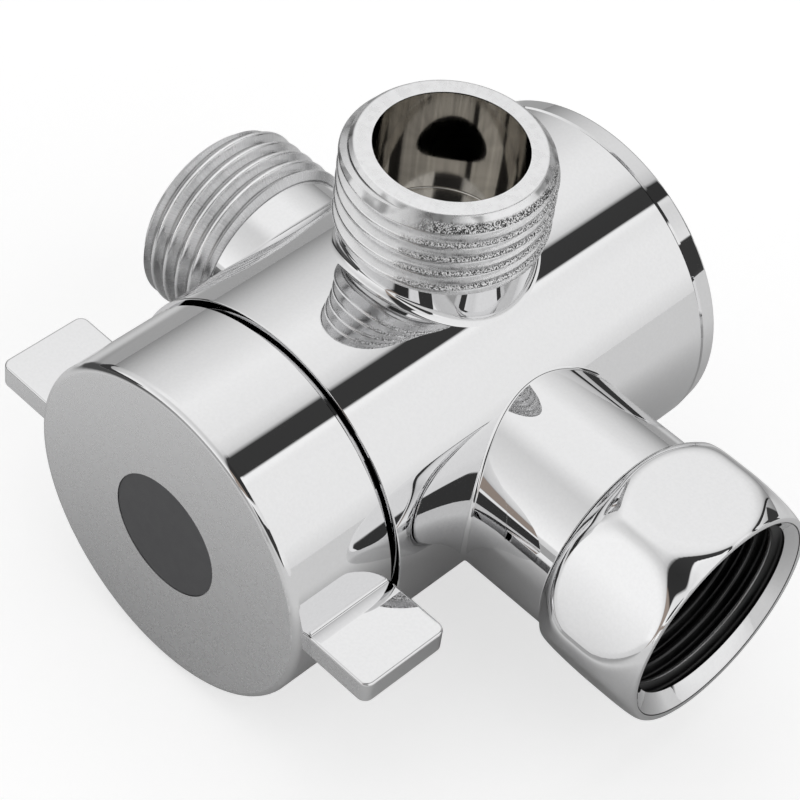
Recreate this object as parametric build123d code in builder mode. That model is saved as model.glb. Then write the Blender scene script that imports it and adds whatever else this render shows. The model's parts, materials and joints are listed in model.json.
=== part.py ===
from build123d import *
import os

os.makedirs("parts", exist_ok=True)

# Frame of the valve
# The origin is on the inlet's axis, at the inner end of the inlet thread, where the
# pipe meets its washer. +X leaves the inlet, +Z leaves the upper outlet, and the
# handle faces -Y. The body's own axis runs along Y.

# Clearances
running_clearance = 0.08
fit_clearance = 0.05
loose_clearance = 0.2
face_clearance = 0.05

# Half inch pipe thread of the three ports
thread_radius = 10.45
thread_clearance = 0.05
thread_lead = 1.35

# Valve body, outside
body_shoulder = 1.75
body_rear = 22.7
body_edge = 0.25
inlet_reach = 33.5
top_port_offset = 0.9

# Outlet ports, measured from the body's axis
outlet_reach = 30.0
outlet_thread_length = 9.8
outlet_neck_radius = 9.45
outlet_run_out = 0.6
outlet_bore_radius = 7.38
outlet_bore_depth = 12.3
outlet_bore_edge = 0.3

# Passages inside the body
passage_radius = 4.3
outlet_passage_radius = 3.25
passage_web = 1.3
seat_wall = 1.9
rear_wall = 2.0
inlet_hole_radius = 3.2
port_hole_radius = 2.5
port_hole_setback = 0.2
inlet_bore_radius = 6.0
inlet_bore_depth = 15.0

# Rear cap
rear_cavity_wall = 2.95
cap_thickness = 2.4
cap_taper = 0.3
cap_edge = 0.4
cap_spigot_length = 6.5
cap_spigot_wall = 2.5
cap_ring_radius = 0.5
cap_ring_setback = 3.6

# Cartridge, in the order that its pieces stack on the seat
base_seal_thickness = 1.2
base_thickness = 1.8
disc_seal_thickness = 0.8
fixed_disc_thickness = 2.4
moving_disc_thickness = 2.2
carrier_thickness = 1.6
spindle_flange_thickness = 1.2
friction_washer_thickness = 0.5
housing_top_thickness = 1.8
gland_thickness = 4.2

disc_land = 1.2
pocket_depth = 1.2
pocket_half_angle = 52
pocket_middle_angle = 135
drive_lug_width = 3.0
drive_lug_height = 0.9
housing_wall = 1.4
housing_lug_width = 3.0
housing_lug_height = 0.8
housing_lug_length = 5.5
housing_flange_rim = 0.9
housing_flange_thickness = 1.7
housing_neck_wall = 2.1
housing_neck_length = 2.65
stop_lug_half_angle = 6
stop_lug_depth = 1.6
handle_half_range = 45
stop_spare_angle = 1

# Gland nut that holds the cartridge down
gland_step = 1.2
gland_hub_clearance = 0.8
gland_slot_width = 3.0
gland_slot_depth = 1.7
collar_wall = 1.6
collar_height = 4.2
collar_overlap = 0.3

# Spindle
spindle_radius = 4.0
spindle_flat = 6.2
spindle_flange_radius = 8.0
spindle_ring_radius = 0.5
spindle_ring_pitch = 1.95
spindle_ring_setback = 1.3
tang_width = 5.0
tang_length = 11.0
tang_depth = 1.0
clip_thickness = 0.6
clip_radius = 5.4
clip_groove_depth = 0.8
clip_gap_angle = 50

# Handle
handle_gap = 0.78
handle_length = 12.05
skirt_clearance = 0.4
skirt_wall = 1.0
skirt_step_clearance = 0.7
knob_edge = 0.8
knob_wall = 2.4
hub_radius = 6.6
rib_thickness = 1.4
rib_height = 3.8
wing_reach = 25.7
wing_thickness = 2.7
wing_front_inset = 1.4
wing_rear_inset = 0.3
wing_corner = 1.0
wing_edge = 0.3

# Index disc and handle screw
index_radius = 6.62
index_thickness = 1.0
index_recess = 0.1
index_skirt_wall = 0.7
index_skirt_length = 1.2
screw_pocket_radius = 4.9
screw_pocket_depth = 3.7
screw_web = 1.3
screw_radius = 2.0
screw_head_radius = 3.5
screw_head_height = 1.6
screw_length = 6.9
screw_socket = 2.5
screw_socket_depth = 1.0
lock_washer_thickness = 0.7
lock_washer_gap_angle = 12

# Swivel nut and its inlet parts
nut_length = 12.5
nut_back_wall = 1.7
nut_wall = 1.5
nut_ridge_radius = 2.0
nut_back_rim = 0.9
nut_mouth_rim = 1.4
nut_crown_rim = 3.05
nut_crown_setback = 5.0
nut_crown_length = 1.6
nut_relief_depth = 0.3
nut_thread_length = 6.7
nut_mouth_chamfer = 0.8
branch_radius = 11.04
branch_edge = 0.25
branch_gap = 0.25
inlet_spigot_radius = 8.2
snap_ring_radius = 0.45
snap_groove_depth = 0.35
snap_gap_angle = 20
spigot_lip = 0.35
filter_rim_thickness = 0.4
filter_rim_overhang = 0.8
filter_hole_radius = 0.5
filter_hole_pitch = 1.75
inlet_washer_thickness = 1.5
inlet_washer_overhang = 1.0
inlet_washer_setback = 0.1

# Radii that follow from the cartridge outwards
outlet_passage_end = passage_radius + passage_web
port_circle = outlet_passage_end + port_hole_setback + port_hole_radius
disc_radius = port_circle + port_hole_radius + disc_land
housing_inner_radius = disc_radius + loose_clearance
housing_outer_radius = housing_inner_radius + housing_wall
cartridge_bore_radius = housing_outer_radius + loose_clearance
gland_thread_radius = cartridge_bore_radius + gland_step
collar_radius = gland_thread_radius + collar_wall
body_radius = collar_radius + body_shoulder
skirt_inner_radius = collar_radius + skirt_clearance
knob_radius = skirt_inner_radius + skirt_wall
neck_bore_radius = spindle_radius + running_clearance
neck_outer_radius = neck_bore_radius + housing_neck_wall
gland_bore_radius = hub_radius + gland_hub_clearance

# Levels along the body's axis, from the cartridge seat forward to the handle's face
body_x = -inlet_reach
seat_y = -(passage_radius + seat_wall)
base_seal_y = seat_y - base_seal_thickness
base_y = base_seal_y - base_thickness
disc_seal_y = base_y - disc_seal_thickness
fixed_disc_y = disc_seal_y - fixed_disc_thickness
moving_disc_y = fixed_disc_y - moving_disc_thickness
carrier_y = moving_disc_y - carrier_thickness
spindle_flange_y = carrier_y - spindle_flange_thickness
friction_washer_y = spindle_flange_y - friction_washer_thickness
housing_inner_y = friction_washer_y - face_clearance
housing_y = housing_inner_y - housing_top_thickness
housing_flange_y = housing_y + housing_flange_thickness
gland_step_y = housing_flange_y + loose_clearance
neck_end_y = housing_y - housing_neck_length
gland_y = housing_y - gland_thickness
collar_y = gland_y - collar_overlap
body_front_y = collar_y + collar_height
handle_rear_y = body_front_y - handle_gap
handle_face_y = handle_rear_y - handle_length
clip_y = neck_end_y - face_clearance * 2 - clip_thickness
hub_end_y = clip_y - loose_clearance
index_back_y = handle_face_y + index_recess + index_thickness
screw_floor_y = handle_face_y + screw_pocket_depth
spindle_end_y = screw_floor_y + screw_web + face_clearance
knob_floor_y = handle_face_y + knob_wall
skirt_step_y = collar_y - skirt_step_clearance
rear_floor_y = top_port_offset + passage_radius + rear_wall
rear_cavity_radius = body_radius - rear_cavity_wall
cap_front_y = body_rear + face_clearance
cap_rear_y = cap_front_y + cap_thickness

# Levels along the inlet, from the pipe's washer back to the branch's shoulder
washer_face_x = -inlet_washer_setback
washer_back_x = washer_face_x - inlet_washer_thickness
spigot_end_x = washer_back_x - filter_rim_thickness
snap_ring_x = spigot_end_x - spigot_lip - snap_ring_radius
nut_shelf_x = snap_ring_x - snap_ring_radius - face_clearance
nut_back_x = nut_shelf_x - nut_back_wall
nut_mouth_x = nut_back_x + nut_length
branch_end_x = nut_back_x - branch_gap
filter_rim_radius = inlet_spigot_radius + filter_rim_overhang
inlet_washer_radius = inlet_spigot_radius + inlet_washer_overhang
nut_thread_radius = thread_radius + thread_clearance
nut_back_radius = nut_thread_radius + nut_back_rim
nut_mouth_radius = nut_thread_radius + nut_mouth_rim
nut_crown_radius = nut_thread_radius + nut_crown_rim

# Axes and working planes
body_axis = Axis((body_x, 0, 0), (0, 1, 0))
body_section = Plane(origin=(body_x, 0, 0), x_dir=(1, 0, 0), z_dir=(0, 0, 1))
top_port = Plane(origin=(body_x, top_port_offset, 0), x_dir=(1, 0, 0), z_dir=(0, -1, 0))
side_port = Plane(origin=(body_x, 0, 0), x_dir=(0, 1, 0), z_dir=(0, 0, 1))


def facing_front(level):
    """A plane across the body's axis at this level, seen from the handle: X right, Z up."""
    return Plane(origin=(body_x, level, 0), x_dir=(1, 0, 0), z_dir=(0, -1, 0))


def out_of(port):
    """The axis of an outlet port, pointing out of its mouth."""
    return Axis(port.origin, port.y_dir)


def sector(radius, half_angle, middle_angle):
    """Corners of a triangle that covers a sector of this radius, for cutting one out."""
    reach = radius / max(0.2, cos_deg(half_angle))
    return [
        (0, 0),
        polar(reach, middle_angle - half_angle),
        polar(reach, middle_angle + half_angle),
    ]


def cos_deg(angle):
    """The cosine of an angle in degrees."""
    return Vector(1, 0).rotate(Axis.Z, angle).X


def polar(radius, angle):
    """The sketch point at this radius and angle in degrees."""
    turned = Vector(radius, 0).rotate(Axis.Z, angle)
    return (turned.X, turned.Y)


# Valve body
# One brass casting: barrel, two threaded outlets, the inlet branch with its spigot,
# the cartridge bore in front and the lightening cavity behind.
with BuildPart() as valve_body:
    with BuildSketch(body_section) as barrel_profile:
        with BuildLine():
            Polyline(
                (0, collar_y),
                (collar_radius, collar_y),
                (collar_radius, body_front_y),
                (body_radius, body_front_y),
                (body_radius, body_rear),
                (0, body_rear),
                close=True,
            )
        make_face()
    revolve(axis=body_axis)
    barrel_rims = valve_body.edges().filter_by(GeomType.CIRCLE).group_by(SortBy.RADIUS)[-1]
    chamfer(barrel_rims, body_edge)

    for port in (top_port, side_port):
        thread_foot = outlet_reach - outlet_thread_length
        with BuildSketch(port) as port_profile:
            with BuildLine():
                Polyline(
                    (0, 0),
                    (outlet_neck_radius, 0),
                    (outlet_neck_radius, thread_foot),
                    (thread_radius, thread_foot + outlet_run_out),
                    (thread_radius, outlet_reach - thread_lead),
                    (thread_radius - thread_lead, outlet_reach),
                    (0, outlet_reach),
                    close=True,
                )
            make_face()
        revolve(axis=out_of(port))

    with BuildSketch(Plane.XY) as branch_profile:
        snap_groove_radius = inlet_spigot_radius - snap_groove_depth
        snap_groove_half = snap_ring_radius + face_clearance
        with BuildLine():
            Polyline(
                (body_x, 0),
                (body_x, branch_radius),
                (branch_end_x - branch_edge, branch_radius),
                (branch_end_x, branch_radius - branch_edge),
                (branch_end_x, inlet_spigot_radius),
                (snap_ring_x - snap_groove_half, inlet_spigot_radius),
                (snap_ring_x - snap_groove_half, snap_groove_radius),
                (snap_ring_x + snap_groove_half, snap_groove_radius),
                (snap_ring_x + snap_groove_half, inlet_spigot_radius),
                (spigot_end_x, inlet_spigot_radius),
                (spigot_end_x, 0),
                close=True,
            )
        make_face()
    revolve(axis=Axis.X)

    for port in (top_port, side_port):
        outlet_floor = outlet_reach - outlet_bore_depth
        with BuildSketch(port) as waterway_profile:
            with BuildLine():
                Polyline(
                    (0, outlet_passage_end),
                    (outlet_passage_radius, outlet_passage_end),
                    (outlet_passage_radius, outlet_floor),
                    (outlet_bore_radius, outlet_floor),
                    (outlet_bore_radius, outlet_reach - outlet_bore_edge),
                    (outlet_bore_radius + outlet_bore_edge, outlet_reach),
                    (0, outlet_reach),
                    close=True,
                )
            make_face()
        revolve(axis=out_of(port), mode=Mode.SUBTRACT)

    with BuildSketch(Plane.XY) as inlet_profile:
        inlet_passage_end_x = body_x - inlet_hole_radius - passage_web / 2
        with BuildLine():
            Polyline(
                (inlet_passage_end_x, 0),
                (inlet_passage_end_x, passage_radius),
                (spigot_end_x - inlet_bore_depth, passage_radius),
                (spigot_end_x - inlet_bore_depth, inlet_bore_radius),
                (spigot_end_x, inlet_bore_radius),
                (spigot_end_x, 0),
                close=True,
            )
        make_face()
    revolve(axis=Axis.X, mode=Mode.SUBTRACT)

    with BuildSketch(body_section) as cartridge_bore:
        with BuildLine():
            Polyline(
                (0, seat_y),
                (cartridge_bore_radius, seat_y),
                (cartridge_bore_radius, gland_step_y),
                (gland_thread_radius, gland_step_y),
                (gland_thread_radius, collar_y),
                (0, collar_y),
                close=True,
            )
        make_face()
    revolve(axis=body_axis, mode=Mode.SUBTRACT)

    with BuildSketch(body_section) as rear_cavity:
        with BuildLine():
            Polyline(
                (0, rear_floor_y),
                (rear_cavity_radius, rear_floor_y),
                (rear_cavity_radius, body_rear),
                (0, body_rear),
                close=True,
            )
        make_face()
    revolve(axis=body_axis, mode=Mode.SUBTRACT)

    with BuildSketch(facing_front(0)) as middle_seat_holes:
        Circle(inlet_hole_radius)
        with Locations((-port_circle, 0)):
            Circle(port_hole_radius)
    extrude(amount=-seat_y, mode=Mode.SUBTRACT)
    with BuildSketch(facing_front(top_port_offset)) as top_seat_hole:
        with Locations((0, port_circle)):
            Circle(port_hole_radius)
    extrude(amount=top_port_offset - seat_y, mode=Mode.SUBTRACT)

    with BuildSketch(facing_front(gland_step_y)) as key_slots:
        slot_reach = housing_outer_radius + housing_lug_height + loose_clearance
        Rectangle(slot_reach * 2, housing_lug_width + loose_clearance)
    extrude(amount=-(housing_lug_length + loose_clearance), mode=Mode.SUBTRACT)
valve_body.part.label = "valve_body"
export_step(valve_body.part, "parts/valve_body.step")

# Rear cap
# A turned cap with a hollow spigot, held in the rear cavity by its ring seal.
with BuildPart() as rear_cap:
    cap_spigot_radius = rear_cavity_radius - fit_clearance
    cap_ring_y = body_rear - cap_ring_setback
    cap_groove_radius = rear_cavity_radius - cap_ring_radius * 2 - fit_clearance
    cap_groove_half = cap_ring_radius + fit_clearance
    with BuildSketch(body_section) as cap_profile:
        with BuildLine():
            Polyline(
                (0, cap_front_y),
                (cap_spigot_radius - cap_spigot_wall, cap_front_y),
                (cap_spigot_radius - cap_spigot_wall, body_rear - cap_spigot_length),
                (cap_spigot_radius, body_rear - cap_spigot_length),
                (cap_spigot_radius, cap_ring_y - cap_groove_half),
                (cap_groove_radius, cap_ring_y - cap_groove_half),
                (cap_groove_radius, cap_ring_y + cap_groove_half),
                (cap_spigot_radius, cap_ring_y + cap_groove_half),
                (cap_spigot_radius, cap_front_y),
                (body_radius - body_edge, cap_front_y),
                (body_radius, cap_front_y + body_edge),
                (body_radius - cap_taper, cap_rear_y),
                (0, cap_rear_y),
                close=True,
            )
        make_face()
    revolve(axis=body_axis)
    fillet(rear_cap.faces().sort_by(Axis.Y)[-1].edges(), cap_edge)
rear_cap.part.label = "rear_cap"
export_step(rear_cap.part, "parts/rear_cap.step")

with BuildPart() as rear_cap_ring:
    with BuildSketch(body_section) as cap_ring_section:
        with Locations((cap_groove_radius + cap_ring_radius, cap_ring_y)):
            Circle(cap_ring_radius)
    revolve(axis=body_axis)
rear_cap_ring.part.label = "rear_cap_o_ring"
export_step(rear_cap_ring.part, "parts/rear_cap_o_ring.step")

# Pieces of the cartridge that carry the three water holes
# The inlet comes up the middle, and one outlet hole lies under each outlet port.
port_spots = [(0, port_circle), (-port_circle, 0)]

with BuildPart() as base_seal:
    with BuildSketch(facing_front(seat_y)) as base_seal_face:
        Circle(housing_inner_radius - loose_clearance)
        Circle(inlet_hole_radius, mode=Mode.SUBTRACT)
        with Locations(*port_spots):
            Circle(port_hole_radius, mode=Mode.SUBTRACT)
    extrude(amount=base_seal_thickness)
base_seal.part.label = "base_seal"
export_step(base_seal.part, "parts/base_seal.step")

with BuildPart() as cartridge_base:
    with BuildSketch(facing_front(base_seal_y)) as base_face:
        Circle(housing_inner_radius - fit_clearance)
        Circle(inlet_hole_radius, mode=Mode.SUBTRACT)
        with Locations(*port_spots):
            Circle(port_hole_radius, mode=Mode.SUBTRACT)
    extrude(amount=base_thickness)
cartridge_base.part.label = "cartridge_base"
export_step(cartridge_base.part, "parts/cartridge_base.step")

with BuildPart() as disc_seal:
    with BuildSketch(facing_front(base_y)) as disc_seal_face:
        Circle(disc_radius - loose_clearance)
        Circle(inlet_hole_radius, mode=Mode.SUBTRACT)
        with Locations(*port_spots):
            Circle(port_hole_radius, mode=Mode.SUBTRACT)
    extrude(amount=disc_seal_thickness)
disc_seal.part.label = "disc_seal"
export_step(disc_seal.part, "parts/disc_seal.step")

with BuildPart() as fixed_disc:
    with BuildSketch(facing_front(disc_seal_y)) as fixed_disc_face:
        Circle(disc_radius)
        Circle(inlet_hole_radius, mode=Mode.SUBTRACT)
        with Locations(*port_spots):
            Circle(port_hole_radius, mode=Mode.SUBTRACT)
    extrude(amount=fixed_disc_thickness)
fixed_disc.part.label = "fixed_disc"
export_step(fixed_disc.part, "parts/fixed_disc.step")

# Moving disc
# Its pocket joins the middle hole to the outlet holes: both at rest, one at each end
# of the handle's travel.
with BuildPart() as moving_disc:
    with BuildSketch(facing_front(fixed_disc_y)) as moving_disc_face:
        Circle(disc_radius - fit_clearance)
    extrude(amount=moving_disc_thickness)
    with BuildSketch(facing_front(fixed_disc_y)) as pocket:
        pocket_radius = port_circle + port_hole_radius
        with BuildLine():
            Polyline(*sector(pocket_radius, pocket_half_angle, pocket_middle_angle), close=True)
        make_face()
        Circle(pocket_radius, mode=Mode.INTERSECT)
        Circle(inlet_hole_radius)
    extrude(amount=pocket_depth, mode=Mode.SUBTRACT)
    with BuildSketch(facing_front(moving_disc_y)) as drive_sockets:
        with PolarLocations(port_circle, 2, start_angle=pocket_middle_angle - 90):
            Rectangle(drive_lug_width + fit_clearance * 2, drive_lug_width + fit_clearance * 2)
    extrude(amount=-(drive_lug_height + face_clearance), mode=Mode.SUBTRACT)
moving_disc.part.label = "moving_disc"
export_step(moving_disc.part, "parts/moving_disc.step")

# Disc carrier
# Two lugs drive the disc, the spindle's tang sits in its slot, and a gap in its rim
# runs against the housing's stop.
with BuildPart() as disc_carrier:
    with BuildSketch(facing_front(moving_disc_y)) as carrier_face:
        Circle(disc_radius - fit_clearance)
        with BuildLine():
            Polyline(
                *sector(
                    disc_radius + 1,
                    handle_half_range + stop_lug_half_angle + stop_spare_angle,
                    270,
                ),
                close=True,
            )
        make_face(mode=Mode.SUBTRACT)
        Circle(housing_inner_radius - stop_lug_depth - loose_clearance)
    extrude(amount=carrier_thickness)
    with BuildSketch(facing_front(carrier_y)) as tang_slot:
        Rectangle(tang_length + fit_clearance * 2, tang_width + fit_clearance * 2)
    extrude(amount=-(tang_depth + face_clearance), mode=Mode.SUBTRACT)
    with BuildSketch(facing_front(moving_disc_y)) as drive_lugs:
        with PolarLocations(port_circle, 2, start_angle=pocket_middle_angle - 90):
            Rectangle(drive_lug_width, drive_lug_width)
    extrude(amount=-drive_lug_height)
disc_carrier.part.label = "disc_carrier"
export_step(disc_carrier.part, "parts/disc_carrier.step")

# Spindle
with BuildPart() as spindle:
    ring_groove_radius = neck_bore_radius - spindle_ring_radius * 2 - fit_clearance
    ring_groove_half = spindle_ring_radius + fit_clearance
    ring_levels = [housing_inner_y - spindle_ring_setback - n * spindle_ring_pitch for n in range(2)]
    with BuildSketch(facing_front(carrier_y)) as flange_face:
        Circle(spindle_flange_radius)
    extrude(amount=spindle_flange_thickness)
    with BuildSketch(facing_front(carrier_y)) as tang_face:
        Rectangle(tang_length, tang_width)
    extrude(amount=-tang_depth)
    with BuildSketch(facing_front(spindle_flange_y)) as shaft_face:
        Circle(spindle_radius)
    extrude(amount=spindle_flange_y - hub_end_y)
    with BuildSketch(facing_front(hub_end_y)) as drive_face:
        Circle(spindle_radius)
        Rectangle(spindle_radius * 2, spindle_flat, mode=Mode.INTERSECT)
    extrude(amount=hub_end_y - spindle_end_y)
    with BuildSketch(body_section) as groove_sections:
        for level in ring_levels:
            with Locations((spindle_radius, level)):
                Rectangle((spindle_radius - ring_groove_radius) * 2, ring_groove_half * 2)
        with Locations((spindle_radius, clip_y + clip_thickness / 2)):
            Rectangle(clip_groove_depth * 2, clip_thickness + face_clearance * 2)
    revolve(axis=body_axis, mode=Mode.SUBTRACT)
    with BuildSketch(facing_front(spindle_end_y)) as screw_hole:
        Circle(screw_radius + fit_clearance)
    extrude(amount=-(screw_length - screw_web - lock_washer_thickness + loose_clearance), mode=Mode.SUBTRACT)
spindle.part.label = "spindle"
export_step(spindle.part, "parts/spindle.step")

with BuildPart() as spindle_rings:
    with BuildSketch(body_section) as spindle_ring_sections:
        for level in ring_levels:
            with Locations((ring_groove_radius + spindle_ring_radius, level)):
                Circle(spindle_ring_radius)
    revolve(axis=body_axis)
spindle_rings.part.label = "spindle_o_rings"
export_step(spindle_rings.part, "parts/spindle_o_rings.step")

with BuildPart() as spindle_clip:
    with BuildSketch(facing_front(clip_y + clip_thickness)) as clip_face:
        Circle(clip_radius)
        Circle(spindle_radius - clip_groove_depth + fit_clearance, mode=Mode.SUBTRACT)
        with BuildLine():
            Polyline(*sector(clip_radius + 1, clip_gap_angle, 270), close=True)
        make_face(mode=Mode.SUBTRACT)
    extrude(amount=clip_thickness)
spindle_clip.part.label = "spindle_clip"
export_step(spindle_clip.part, "parts/spindle_clip.step")

with BuildPart() as friction_washer:
    with BuildSketch(facing_front(spindle_flange_y)) as friction_washer_face:
        Circle(spindle_flange_radius)
        Circle(spindle_radius + loose_clearance, mode=Mode.SUBTRACT)
    extrude(amount=friction_washer_thickness)
friction_washer.part.label = "friction_washer"
export_step(friction_washer.part, "parts/friction_washer.step")

# Cartridge housing
# A cup over the discs with a flange under the gland nut, two keys that stop it
# turning, a neck around the spindle and a stop for the carrier.
with BuildPart() as cartridge_housing:
    with BuildSketch(body_section) as housing_profile:
        housing_flange_radius = housing_outer_radius + housing_flange_rim
        with BuildLine():
            Polyline(
                (housing_inner_radius, base_seal_y),
                (housing_outer_radius, base_seal_y),
                (housing_outer_radius, housing_flange_y),
                (housing_flange_radius, housing_flange_y),
                (housing_flange_radius, housing_y),
                (neck_outer_radius, housing_y),
                (neck_outer_radius, neck_end_y),
                (neck_bore_radius, neck_end_y),
                (neck_bore_radius, housing_inner_y),
                (housing_inner_radius, housing_inner_y),
                close=True,
            )
        make_face()
    revolve(axis=body_axis)
    with BuildSketch(facing_front(housing_flange_y)) as housing_keys:
        Rectangle((housing_outer_radius + housing_lug_height) * 2, housing_lug_width)
        Circle(housing_inner_radius + housing_wall / 2, mode=Mode.SUBTRACT)
    extrude(amount=-housing_lug_length)
    with BuildSketch(facing_front(moving_disc_y)) as housing_stop:
        with BuildLine():
            Polyline(*sector(housing_outer_radius, stop_lug_half_angle, 270), close=True)
        make_face()
        Circle(housing_inner_radius + housing_wall / 2, mode=Mode.INTERSECT)
        Circle(housing_inner_radius - stop_lug_depth, mode=Mode.SUBTRACT)
    extrude(amount=moving_disc_y - housing_inner_y)
cartridge_housing.part.label = "cartridge_housing"
export_step(cartridge_housing.part, "parts/cartridge_housing.step")

# Gland nut
with BuildPart() as gland_nut:
    with BuildSketch(facing_front(housing_y)) as gland_face:
        Circle(gland_thread_radius - fit_clearance)
        Circle(gland_bore_radius, mode=Mode.SUBTRACT)
    extrude(amount=gland_thickness)
    with BuildSketch(facing_front(gland_y)) as spanner_slots:
        Rectangle(gland_thread_radius * 2, gland_slot_width)
        Rectangle(gland_slot_width, gland_thread_radius * 2)
    extrude(amount=-gland_slot_depth, mode=Mode.SUBTRACT)
gland_nut.part.label = "gland_nut"
export_step(gland_nut.part, "parts/gland_nut.step")

# Handle
# One die casting: a hollow knob with two flat wings, and a ribbed hub on the spindle.
with BuildPart() as handle:
    wing_front_y = handle_face_y + wing_front_inset
    wing_rear_y = handle_rear_y - wing_rear_inset
    with BuildSketch(facing_front(wing_rear_y)) as wing_face:
        Rectangle(wing_reach * 2, wing_thickness)
    extrude(amount=wing_rear_y - wing_front_y)
    fillet(handle.edges().filter_by(Axis.Z), wing_corner)
    fillet(handle.faces().filter_by(Axis.Z).edges(), wing_edge)

    with BuildSketch(body_section) as knob_profile:
        with BuildLine():
            Polyline(
                (0, handle_rear_y),
                (knob_radius, handle_rear_y),
                (knob_radius, handle_face_y),
                (0, handle_face_y),
                close=True,
            )
        make_face()
        knob_corners = knob_profile.vertices().sort_by(Axis.Y)[:2]
        fillet(knob_corners.sort_by(Axis.X)[-1], knob_edge)
    revolve(axis=body_axis)

    with BuildSketch(body_section) as knob_hollow:
        cavity_radius = skirt_inner_radius - skirt_wall
        with BuildLine():
            Polyline(
                (0, handle_rear_y),
                (skirt_inner_radius, handle_rear_y),
                (skirt_inner_radius, skirt_step_y),
                (cavity_radius, skirt_step_y),
                (cavity_radius, knob_floor_y),
                (hub_radius, knob_floor_y),
                (hub_radius, hub_end_y),
                (0, hub_end_y),
                close=True,
            )
        make_face()
    revolve(axis=body_axis, mode=Mode.SUBTRACT)

    with BuildSketch(facing_front(knob_floor_y)) as ribs:
        rib_reach = (cavity_radius + hub_radius) / 2
        with PolarLocations(rib_reach, 4, start_angle=45):
            Rectangle(cavity_radius - hub_radius + skirt_wall, rib_thickness)
    extrude(amount=-rib_height)

    with BuildSketch(facing_front(hub_end_y)) as spindle_socket:
        Circle(spindle_radius + fit_clearance)
        Rectangle(spindle_radius * 3, spindle_flat + fit_clearance * 2, mode=Mode.INTERSECT)
    extrude(amount=hub_end_y - screw_floor_y - screw_web, mode=Mode.SUBTRACT)
    with BuildSketch(facing_front(handle_face_y)) as screw_clearance:
        Circle(screw_radius + loose_clearance)
    extrude(amount=-(screw_pocket_depth + screw_web), mode=Mode.SUBTRACT)
    with BuildSketch(facing_front(handle_face_y)) as screw_pocket:
        Circle(screw_pocket_radius)
    extrude(amount=-screw_pocket_depth, mode=Mode.SUBTRACT)
    with BuildSketch(facing_front(handle_face_y)) as index_seat:
        Circle(index_radius + fit_clearance)
    extrude(amount=-(index_recess + index_thickness), mode=Mode.SUBTRACT)
handle.part.label = "handle"
export_step(handle.part, "parts/handle.step")

# Index disc that hides the screw
with BuildPart() as index_disc:
    with BuildSketch(facing_front(index_back_y)) as index_face:
        Circle(index_radius)
    extrude(amount=index_thickness)
    with BuildSketch(facing_front(index_back_y)) as index_skirt:
        Circle(screw_pocket_radius - fit_clearance)
        Circle(screw_pocket_radius - fit_clearance - index_skirt_wall, mode=Mode.SUBTRACT)
    extrude(amount=-index_skirt_length)
index_disc.part.label = "index_disc"
export_step(index_disc.part, "parts/index_disc.step")

# Handle screw and its spring washer
with BuildPart() as handle_screw:
    head_seat_y = screw_floor_y - lock_washer_thickness
    with BuildSketch(facing_front(head_seat_y)) as screw_head:
        Circle(screw_head_radius)
    extrude(amount=screw_head_height)
    fillet(handle_screw.faces().sort_by(Axis.Y)[0].edges(), screw_head_height / 3)
    with BuildSketch(facing_front(head_seat_y)) as screw_shank:
        Circle(screw_radius)
    extrude(amount=-screw_length)
    with BuildSketch(facing_front(head_seat_y - screw_head_height)) as key_socket:
        RegularPolygon(radius=screw_socket / 2, side_count=6, major_radius=False)
    extrude(amount=-screw_socket_depth, mode=Mode.SUBTRACT)
handle_screw.part.label = "handle_screw"
export_step(handle_screw.part, "parts/handle_screw.step")

with BuildPart() as lock_washer:
    with BuildSketch(facing_front(screw_floor_y)) as lock_washer_face:
        Circle(screw_head_radius)
        Circle(screw_radius + loose_clearance, mode=Mode.SUBTRACT)
        with BuildLine():
            Polyline(*sector(screw_head_radius + 1, lock_washer_gap_angle, 60), close=True)
        make_face(mode=Mode.SUBTRACT)
    extrude(amount=lock_washer_thickness)
lock_washer.part.label = "lock_washer"
export_step(lock_washer.part, "parts/lock_washer.step")

# Swivel nut
# A hexagon turned to a barrel shape at both ends, so each flat is an oval.
with BuildPart() as swivel_nut:
    with BuildSketch(Plane.YZ.offset(nut_back_x)) as nut_hexagon:
        RegularPolygon(radius=nut_thread_radius + nut_wall, side_count=6, major_radius=False)
        fillet(nut_hexagon.vertices(), nut_ridge_radius)
    extrude(amount=nut_length)
    crown_back_x = nut_back_x + nut_crown_setback
    crown_front_x = crown_back_x + nut_crown_length
    with BuildSketch(Plane.XY) as nut_barrel:
        with BuildLine():
            crown = Line((crown_back_x, nut_crown_radius), (crown_front_x, nut_crown_radius))
            front = TangentArc(crown @ 1, (nut_mouth_x, nut_mouth_radius), tangent=(1, 0))
            back = TangentArc(crown @ 0, (nut_back_x, nut_back_radius), tangent=(-1, 0))
            Polyline(front @ 1, (nut_mouth_x, 0), (nut_back_x, 0), back @ 1)
        make_face()
    revolve(axis=Axis.X, mode=Mode.INTERSECT)
    with BuildSketch(Plane.XY) as nut_bore:
        nut_hole_radius = inlet_spigot_radius + running_clearance
        nut_relief_radius = nut_thread_radius + nut_relief_depth
        with BuildLine():
            Polyline(
                (nut_back_x, 0),
                (nut_back_x, nut_hole_radius),
                (nut_shelf_x, nut_hole_radius),
                (nut_shelf_x, nut_relief_radius),
                (0, nut_relief_radius),
                (0, nut_thread_radius),
                (nut_thread_length, nut_thread_radius),
                (nut_mouth_x, nut_thread_radius + nut_mouth_chamfer),
                (nut_mouth_x, 0),
                close=True,
            )
        make_face()
    revolve(axis=Axis.X, mode=Mode.SUBTRACT)
swivel_nut.part.label = "swivel_nut"
export_step(swivel_nut.part, "parts/swivel_nut.step")

# Snap ring that keeps the nut on the spigot
with BuildPart() as snap_ring:
    with BuildSketch(Plane.XY) as snap_ring_section:
        with Locations((snap_ring_x, snap_groove_radius + snap_ring_radius)):
            Circle(snap_ring_radius)
    revolve(axis=Axis.X, revolution_arc=360 - snap_gap_angle)
snap_ring.part.label = "nut_snap_ring"
export_step(snap_ring.part, "parts/nut_snap_ring.step")

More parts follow.
